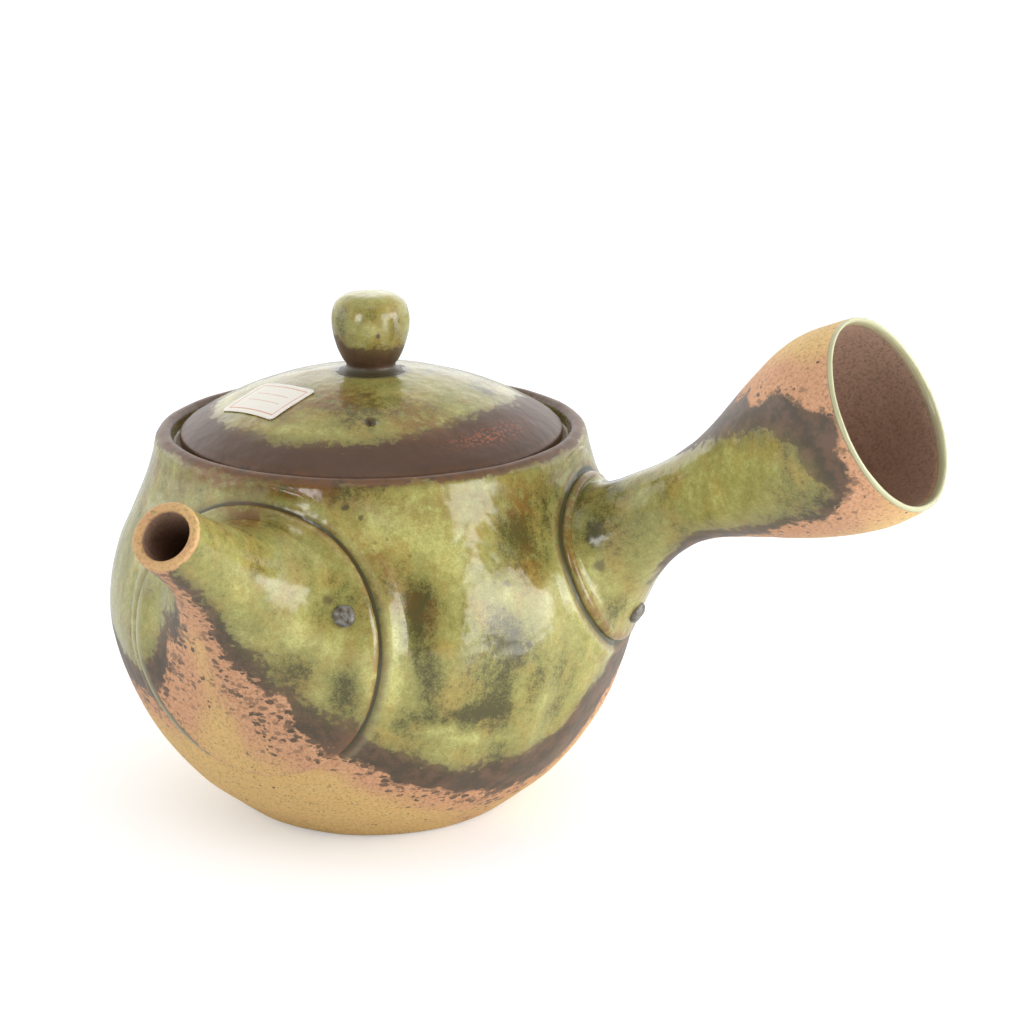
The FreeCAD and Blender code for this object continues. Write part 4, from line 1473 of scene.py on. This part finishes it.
class TEAPOT_OT_spout(bpy.types.Operator):
    """Draw the spout up from its flange and hollow it"""

    bl_idname = "teapot.spout"
    bl_label = "Spout"

    def execute(self, context):
        thick = millimetres(sizes().flange)
        radius = SPOUT_SEAT["radius"]
        rings = [laid_ring(SPOUT_SEAT, radius + out, lift * thick) for out, lift, _ in SPOUT_EDGE]
        reaches, rusts = [SPOUT_FLANGE_REACH] * len(rings), [rust for _, _, rust in SPOUT_EDGE]
        skin = [laid_ring(SPOUT_SEAT, radius - 2.0, thick), laid_ring(SPOUT_SEAT, radius - 4.4, thick)]
        skin += [spout_ring(*section) for section in SPOUT_SECTIONS]
        made, marks = lofted(skin, [47.2, 49.2] + [section[0] for section in SPOUT_SECTIONS])
        outside = len(rings) + len(made)
        tip, bore = self.tip_and_bore()
        rings += made + tip + bore + rings[:1]
        reaches += marks + [SPOUT_TIP_REACH] * len(tip) + [60] * len(bore) + [SPOUT_FLANGE_REACH]
        rusts += [0.1] + [0] * (len(rings) - len(rusts) - 1)
        inside = [0] * (outside + len(tip) - 1) + [1] * (len(bore) + 1) + [0]
        piece, match, roll = limb("spout", rings)
        reach = by_ring(reaches, match)
        depth, green = spout_fields(reach, roll)
        # Along the flange's left edge the glaze is kept and tinted with the painted sheen: a painted
        # highlight on that edge
        painted_brim = np.interp(match // ROUND, [1, 2, 4, 6, 8], [0, 1, 1, 0.7, 0])
        painted_brim = painted_brim * np.clip((roll - 195) / 15, 0, 1) * np.clip((290 - roll) / 15, 0, 1)
        depth = np.where(painted_brim > 0.3, np.maximum(depth, 5 * painted_brim), depth)
        store(
            piece,
            glaze_depth=np.where(reach > SPOUT_BARE_TIP, -6.5, depth),
            green_depth=green,
            celadon=painted_brim * 0.9,
            rust=by_ring(rusts, match),
            inside=by_ring(inside, match),
        )
        dress(piece, "pot", "ash_glaze", glazed(), "spout")
        return {"FINISHED"}

    def tip_and_bore(self):
        """Rings over the rounded tip and back down the bore to the root."""
        wall = millimetres(sizes().spout_wall)
        reach, height, slope, radius = SPOUT_SECTIONS[-1]
        run, rise = math.cos(math.radians(slope)), math.sin(math.radians(slope))
        tip = []
        for forward, inwards in SPOUT_TIP:
            place = (reach + forward * run, height + forward * rise)
            tip.append(spout_ring(*place, slope, radius - inwards / SPOUT_TIP[-1][1] * wall))
        back = [spout_ring(*s[:3], s[3] - w) for s, w in zip(SPOUT_SECTIONS[:-1], SPOUT_WALLS)][::-1]
        made, _ = lofted(back, [0] * len(back), 2.0)
        return tip, made + [laid_ring(SPOUT_SEAT, SPOUT_ROOT, -0.6), laid_ring(SPOUT_SEAT, 21.0, -0.7)]


class TEAPOT_OT_handle(bpy.types.Operator):
    """Draw the hollow handle out from its flange to its open mouth"""

    bl_idname = "teapot.handle"
    bl_label = "Handle"

    def execute(self, context):
        thick = millimetres(sizes().flange)
        radius = HANDLE_SEAT["radius"]
        back = [laid_ring(HANDLE_SEAT, share * radius, -0.9) for share in (1e-4, 0.45)]
        edge = [laid_ring(HANDLE_SEAT, radius + out, lift * thick) for out, lift, _ in HANDLE_EDGE]
        rusts = [0, 0] + [rust for _, _, rust in HANDLE_EDGE] + [0.7, 0.3]
        skin = [laid_ring(HANDLE_SEAT, radius - 1.2, thick)] + [handle_ring(*s) for s in HANDLE_SECTIONS]
        made, marks = lofted(skin, [0.5] + [s[0] for s in HANDLE_SECTIONS])
        outer = back + edge + made
        rim, bore = self.rim_and_bore()
        rings = outer + rim + bore
        reaches = [0.0] * len(back + edge) + marks + [HANDLE_RIM_REACH] * len(rim) + [40] * len(bore)
        rusts += [0] * (len(rings) - len(rusts))
        inside = [0] * len(outer + rim) + [1] * len(bore)
        band = [0] * len(outer) + [1] * len(rim) + [0] * len(bore)
        piece, match, roll = limb("handle", rings)
        depth, green = handle_fields(by_ring(reaches, match), roll)
        band = by_ring(band, match)
        # The rim's band takes the painted sheen: a painted reflection on the handle's mouth
        store(
            piece,
            glaze_depth=np.where(band > 0, 12, depth),
            green_depth=np.where(band > 0, 12, green),
            tone=tone_of(points_of(piece)) - 0.1,
            celadon=band,
            calm=1,
            rust=by_ring(rusts, match),
            inside=by_ring(inside, match),
        )
        dress(piece, "pot", "ash_glaze", glazed(), "handle")
        return {"FINISHED"}

    def rim_and_bore(self):
        """Rings over the rounded rim and down the hollow to its closed end."""
        wall, rim_wall = millimetres(sizes().handle_wall), millimetres(sizes().handle_rim)
        reach, height, slope, radius = HANDLE_SECTIONS[-1]
        run, rise = math.cos(math.radians(slope)), math.sin(math.radians(slope))
        rim = []
        for forward, inwards in HANDLE_RIM:
            place = (reach + forward * run, height + forward * rise)
            rim.append(handle_ring(*place, slope, radius - inwards / 1.4 * rim_wall))
        back = [handle_ring(*s[:3], s[3] - wall) for s in HANDLE_SECTIONS[:-1]][::-1]
        start = handle_ring(reach - 1.4, height - 0.7, slope, radius - 1.35)
        made, _ = lofted([start] + back, [0] * (len(back) + 1), 2.0)
        return rim, made + [handle_ring(2.4, 57.6, 25, 7.0), handle_ring(1.6, 57.2, 25, 1e-4)]


class TEAPOT_OT_pellets(bpy.types.Operator):
    """Press the small clay pellets on spout and handle"""

    bl_idname = "teapot.pellets"
    bl_label = "Pellets"

    def execute(self, context):
        for name, (carrier, place, radius) in PELLETS.items():
            profile = [(girth * radius, height * radius) for girth, height in PELLET_PROFILE]
            piece = spun(name + "_button", through(profile, 0.2), 48)
            found, spot, normal, _ = self.host(carrier).closest_point_on_mesh(Vector(place) * MM)
            if not found:
                raise RuntimeError("no surface near " + name)
            turn = normal.to_track_quat("Z", "Y").to_matrix().to_4x4()
            piece.data.transform(Matrix.Translation(spot) @ turn)
            ripple(piece, 0.5, 2.2)
            piece.name = name
            dress(piece, "pot", "dark_glaze", iron_clay(), name)
        return {"FINISHED"}

    def host(self, node_name):
        """The drawn piece that stands for a solid."""
        for piece in bpy.data.objects:
            if node_name in piece.get("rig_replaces", []):
                return piece
        raise RuntimeError("no piece stands for " + node_name)


class TEAPOT_OT_lid(bpy.types.Operator):
    """Turn the domed lid and pierce its vent"""

    bl_idname = "teapot.lid"
    bl_label = "Lid"

    def execute(self, context):
        radius, centre = LID_DOME
        reaches = np.linspace(38.3, 0, 40)
        dome = np.column_stack([reaches, centre + np.sqrt(radius**2 - reaches**2)])
        profile = np.vstack([through(LID_UNDERSIDE), through(LID_SEAT, 0.4), dome])
        piece = spun("lid", profile)
        self.pierce(piece)
        ripple(piece, 0.3, 12)
        points = points_of(piece)
        girth, heading = np.hypot(points[:, 0], points[:, 1]), heading_of(points)
        under = points[:, 2] < centre + np.sqrt(np.maximum(radius**2 - girth**2, 0)) - 1.5
        under &= girth < 38.6
        green = by_heading(LID_GREEN, heading) - girth
        store(
            piece,
            glaze_depth=np.where(under, -12, 6.0),
            green_depth=green,
            tone=tone_of(points) + 0.4 * np.exp(-(((green - 2.5) / 2.2) ** 2)) - 0.3,
            umber=0.85,
            pool=np.clip((8.6 - girth) / 1.6, 0, 1) * ~under,
            rust=np.clip((girth - 38.4) / 1.0, 0, 0.25),
            flush=np.exp(-(((heading + 16) / 17) ** 2)) * np.clip(1 - abs(girth - 33.3) / 3.2, 0, 1),
            inside=(under & (girth < 33.5)).astype(float),
        )
        dress(piece, "lid", "ash_glaze", glazed(), "lid")
        return {"FINISHED"}

    def pierce(self, piece):
        """Cuts the vent, a little wider above than below."""
        reach, heading, radius = VENT
        angle = math.radians(heading)
        place = Vector((reach * math.cos(angle), reach * math.sin(angle), 84)) * MM
        deselect()
        low, high = radius * 0.8 * MM, radius * 1.25 * MM
        bpy.ops.mesh.primitive_cone_add(vertices=32, radius1=low, radius2=high, depth=16 * MM, location=place)
        cut_out(piece, bpy.context.object)


class TEAPOT_OT_knob(bpy.types.Operator):
    """Turn the lid's knob with the glaze pooled at its foot"""

    bl_idname = "teapot.knob"
    bl_label = "Knob"

    def execute(self, context):
        piece = spun("knob", through(KNOB_PROFILE, 0.45), 112)
        points = points_of(piece)
        lean = np.clip((points[:, 2] - 92) / 12, 0, 1)
        points[:, 0] += 0.12 * lean
        set_points(piece, points)
        ripple(piece, 0.35, 6)
        points = points_of(piece)
        height, heading = points[:, 2], heading_of(points)
        left = np.cos(np.radians(heading + 165))
        store(
            piece,
            glaze_depth=12,
            green_depth=(height - 96.6) - np.clip(left, 0, 1) * 3.0,
            pool=np.clip(1 - abs(height - 91.0) / 1.1, 0, 1),
            umber=0.6,
        )
        dress(piece, "lid", "ash_glaze", glazed(), "knob")
        return {"FINISHED"}


class TEAPOT_OT_label(bpy.types.Operator):
    """Lay the blank paper label on the dome"""

    bl_idname = "teapot.label"
    bl_label = "Label"

    def execute(self, context):
        long, wide = millimetres(sizes().label_long), millimetres(sizes().label_wide)
        deselect()
        bpy.ops.mesh.primitive_grid_add(x_subdivisions=34, y_subdivisions=24, size=MM)
        piece = bpy.context.object
        piece.name = "paper_label_sheet"
        flat = points_of(piece)
        x, y = flat[:, 0] * long, flat[:, 1] * wide
        x, y = self.rounded(x, y, long / 2, wide / 2, LABEL_CORNER)
        reach, heading = LABEL_CENTRE
        out = math.radians(heading)
        turn = math.radians(heading + 90 + LABEL_TURN)
        middle = np.array((reach * math.cos(out), reach * math.sin(out)))
        across = np.array((math.cos(turn), math.sin(turn)))
        along = np.array((-math.sin(turn), math.cos(turn)))
        slope = math.cos(math.asin(reach / LID_DOME[0]))
        level = np.outer(x, across) + np.outer(y, along)
        outward = middle / reach
        level -= np.outer((level @ outward) * (1 - slope), outward)
        places = middle + level
        lift = 0.12 + 0.35 * np.clip(x / long + y / wide - 0.62, 0, 1) ** 1.5 * 3
        radius, centre = LID_DOME
        height = centre + np.sqrt(radius**2 - (places**2).sum(1)) + lift
        set_points(piece, np.column_stack([places, height]))
        only(piece)
        thick = piece.modifiers.new("Paper", "SOLIDIFY")
        thick.thickness, thick.offset = sizes().paper, 1.0
        bpy.ops.object.modifier_apply(modifier=thick.name)
        piece.name = "paper_label"
        dress(piece, "lid", "label_paper", label_paper(), "paper_label")
        return {"FINISHED"}

    def rounded(self, x, y, half_x, half_y, radius):
        """Grid points drawn in at the corners to a round."""
        inner_x, inner_y = half_x - radius, half_y - radius
        over_x, over_y = np.maximum(abs(x) - inner_x, 0), np.maximum(abs(y) - inner_y, 0)
        corner = (over_x > 0) & (over_y > 0)
        far = np.hypot(over_x, over_y)
        most = np.maximum(over_x, over_y)
        share = np.where(corner, most / np.maximum(far, 1e-9), 1)
        x = np.where(corner, np.sign(x) * (inner_x + over_x * share), x)
        y = np.where(corner, np.sign(y) * (inner_y + over_y * share), y)
        return x, y


class TEAPOT_OT_clay_parts(bpy.types.Operator):
    """Give the strainer and the lid's collar their bare clay"""

    bl_idname = "teapot.clay_parts"
    bl_label = "Strainer and collar"

    def execute(self, context):
        for name in ("strainer_screen", "lid_collar"):
            piece = frame["nodes"][name]
            piece.data.materials.clear()
            piece.data.materials.append(bare_clay())
        return {"FINISHED"}


class TEAPOT_OT_stage(bpy.types.Operator):
    """Set the pale floor, the soft light and the camera"""

    bl_idname = "teapot.stage"
    bl_label = "Stage"

    def execute(self, context):
        self.floor()
        self.sky(context)
        self.lamps()
        self.camera(context)
        context.scene.view_settings.view_transform = "Standard"
        return {"FINISHED"}

    def floor(self):
        """Pale floor just below the pot, brighter to the camera than to the pot."""
        deselect()
        place = (0, 0, -0.2 * MM)
        bpy.ops.mesh.primitive_circle_add(vertices=96, radius=4.0, fill_type="NGON", location=place)
        floor = bpy.context.object
        floor.name = "floor"
        material, tree, shader = new_material("Pale floor")
        seen = node(tree, "LightPath").outputs["Is Camera Ray"]
        looks = {
            "Base Color": (0.82, 0.85, 0.88, 1),
            "Roughness": 0.95,
            "Specular IOR Level": 0.0,
            "Emission Color": (1, 1, 1, 1),
            "Emission Strength": times(tree, seen, 0.32),
        }
        feed(shader, looks)
        floor.data.materials.append(material)

    def sky(self, context):
        """White to the camera, and softer where the room stands before the pot."""
        world = bpy.data.worlds.new("Studio")
        context.scene.world = world
        world.use_nodes = True
        tree = world.node_tree
        tree.nodes.clear()
        path = node(tree, "LightPath")
        way = node(tree, "TexCoord").outputs["Generated"]
        front = node(tree, "VectorMath", {0: way, 1: ROOM_SIDE}, operation="DOT_PRODUCT").outputs["Value"]
        rise = node(tree, "SeparateXYZ", {0: way}).outputs["Z"]
        back = blended_value(tree, path.outputs["Is Glossy Ray"], 2.0, 1.7)
        level = ranged(tree, front, 0.10, 0.80, back, 0.24)
        level = times(tree, level, ranged(tree, rise, 0.30, 0.85, 1.0, 0.36))
        strength = blended_value(tree, path.outputs["Is Camera Ray"], level, 1.0)
        light = node(tree, "Background", {"Color": (1, 1, 1, 1), "Strength": strength})
        node(tree, "OutputWorld", {"Surface": light.outputs[0]})

    def lamps(self):
        """Window to the right, soft box to the left and a weak one above."""
        self.panel("window", heading=-2, elevation=10, distance=0.46, wide=0.38, tall=0.26, strength=4.8)
        self.panel("left_box", heading=-97, elevation=12, distance=1.3, wide=0.28, tall=0.46, strength=7.5)
        self.panel("top_box", heading=-70, elevation=70, distance=1.4, wide=0.9, tall=0.9, strength=0.8)

    def panel(self, name, heading, elevation, distance, wide, tall, strength):
        """Soft panel of even brightness that faces the pot."""
        deselect()
        turn, rise = math.radians(heading), math.radians(elevation)
        way = Vector((math.cos(turn) * math.cos(rise), math.sin(turn) * math.cos(rise), math.sin(rise)))
        aim = Vector((0, 0, 0.05))
        bpy.ops.object.light_add(type="AREA", location=aim + way * distance)
        lamp = bpy.context.object
        lamp.name = name
        lamp.rotation_mode = "QUATERNION"
        lamp.rotation_quaternion = way.to_track_quat("Z", "Y")
        lamp.data.shape, lamp.data.size, lamp.data.size_y = "RECTANGLE", wide, tall
        lamp.data.energy = strength * wide * tall * math.pi
        lamp.visible_camera = False

    def camera(self, context):
        """Camera that sees the pot from the front and a little from above."""
        deselect()
        place = Vector(CAMERA_PLACE)
        turned = (place - Vector(CAMERA_AIM)).to_track_quat("Z", "Y").to_euler()
        bpy.ops.object.camera_add(location=place, rotation=turned)
        camera = bpy.context.object
        camera.data.sensor_width, camera.data.lens = 36, CAMERA_LENS
        context.scene.camera = camera


class TEAPOT_PT_panel(bpy.types.Panel):
    """Buttons for the pieces, with the sizes and colours"""

    bl_idname = "TEAPOT_PT_panel"
    bl_label = "Teapot"
    bl_space_type = "VIEW_3D"
    bl_region_type = "UI"
    bl_category = "Teapot"

    def draw(self, context):
        for operator in OPERATORS:
            self.layout.operator(operator.bl_idname)
        for group in (context.scene.teapot_sizes, context.scene.teapot_colours):
            box = self.layout.box()
            for name in group.bl_rna.properties.keys():
                if name not in ("rna_type", "name"):
                    box.prop(group, name)


OPERATORS = (
    TEAPOT_OT_pot,
    TEAPOT_OT_ridges,
    TEAPOT_OT_spout,
    TEAPOT_OT_handle,
    TEAPOT_OT_pellets,
    TEAPOT_OT_lid,
    TEAPOT_OT_knob,
    TEAPOT_OT_label,
    TEAPOT_OT_clay_parts,
    TEAPOT_OT_stage,
)
CLASSES = (TeapotSizes, TeapotColours, *OPERATORS, TEAPOT_PT_panel)


def register():
    for part in CLASSES:
        bpy.utils.register_class(part)
    bpy.types.Scene.teapot_sizes = bpy.props.PointerProperty(type=TeapotSizes)
    bpy.types.Scene.teapot_colours = bpy.props.PointerProperty(type=TeapotColours)


def unregister():
    del bpy.types.Scene.teapot_sizes, bpy.types.Scene.teapot_colours
    for part in reversed(CLASSES):
        bpy.utils.unregister_class(part)


def main():
    register()
    for operator in OPERATORS:
        group, action = operator.bl_idname.split(".")
        getattr(getattr(bpy.ops, group), action)()
    deselect()


if __name__ == "__main__":
    main()
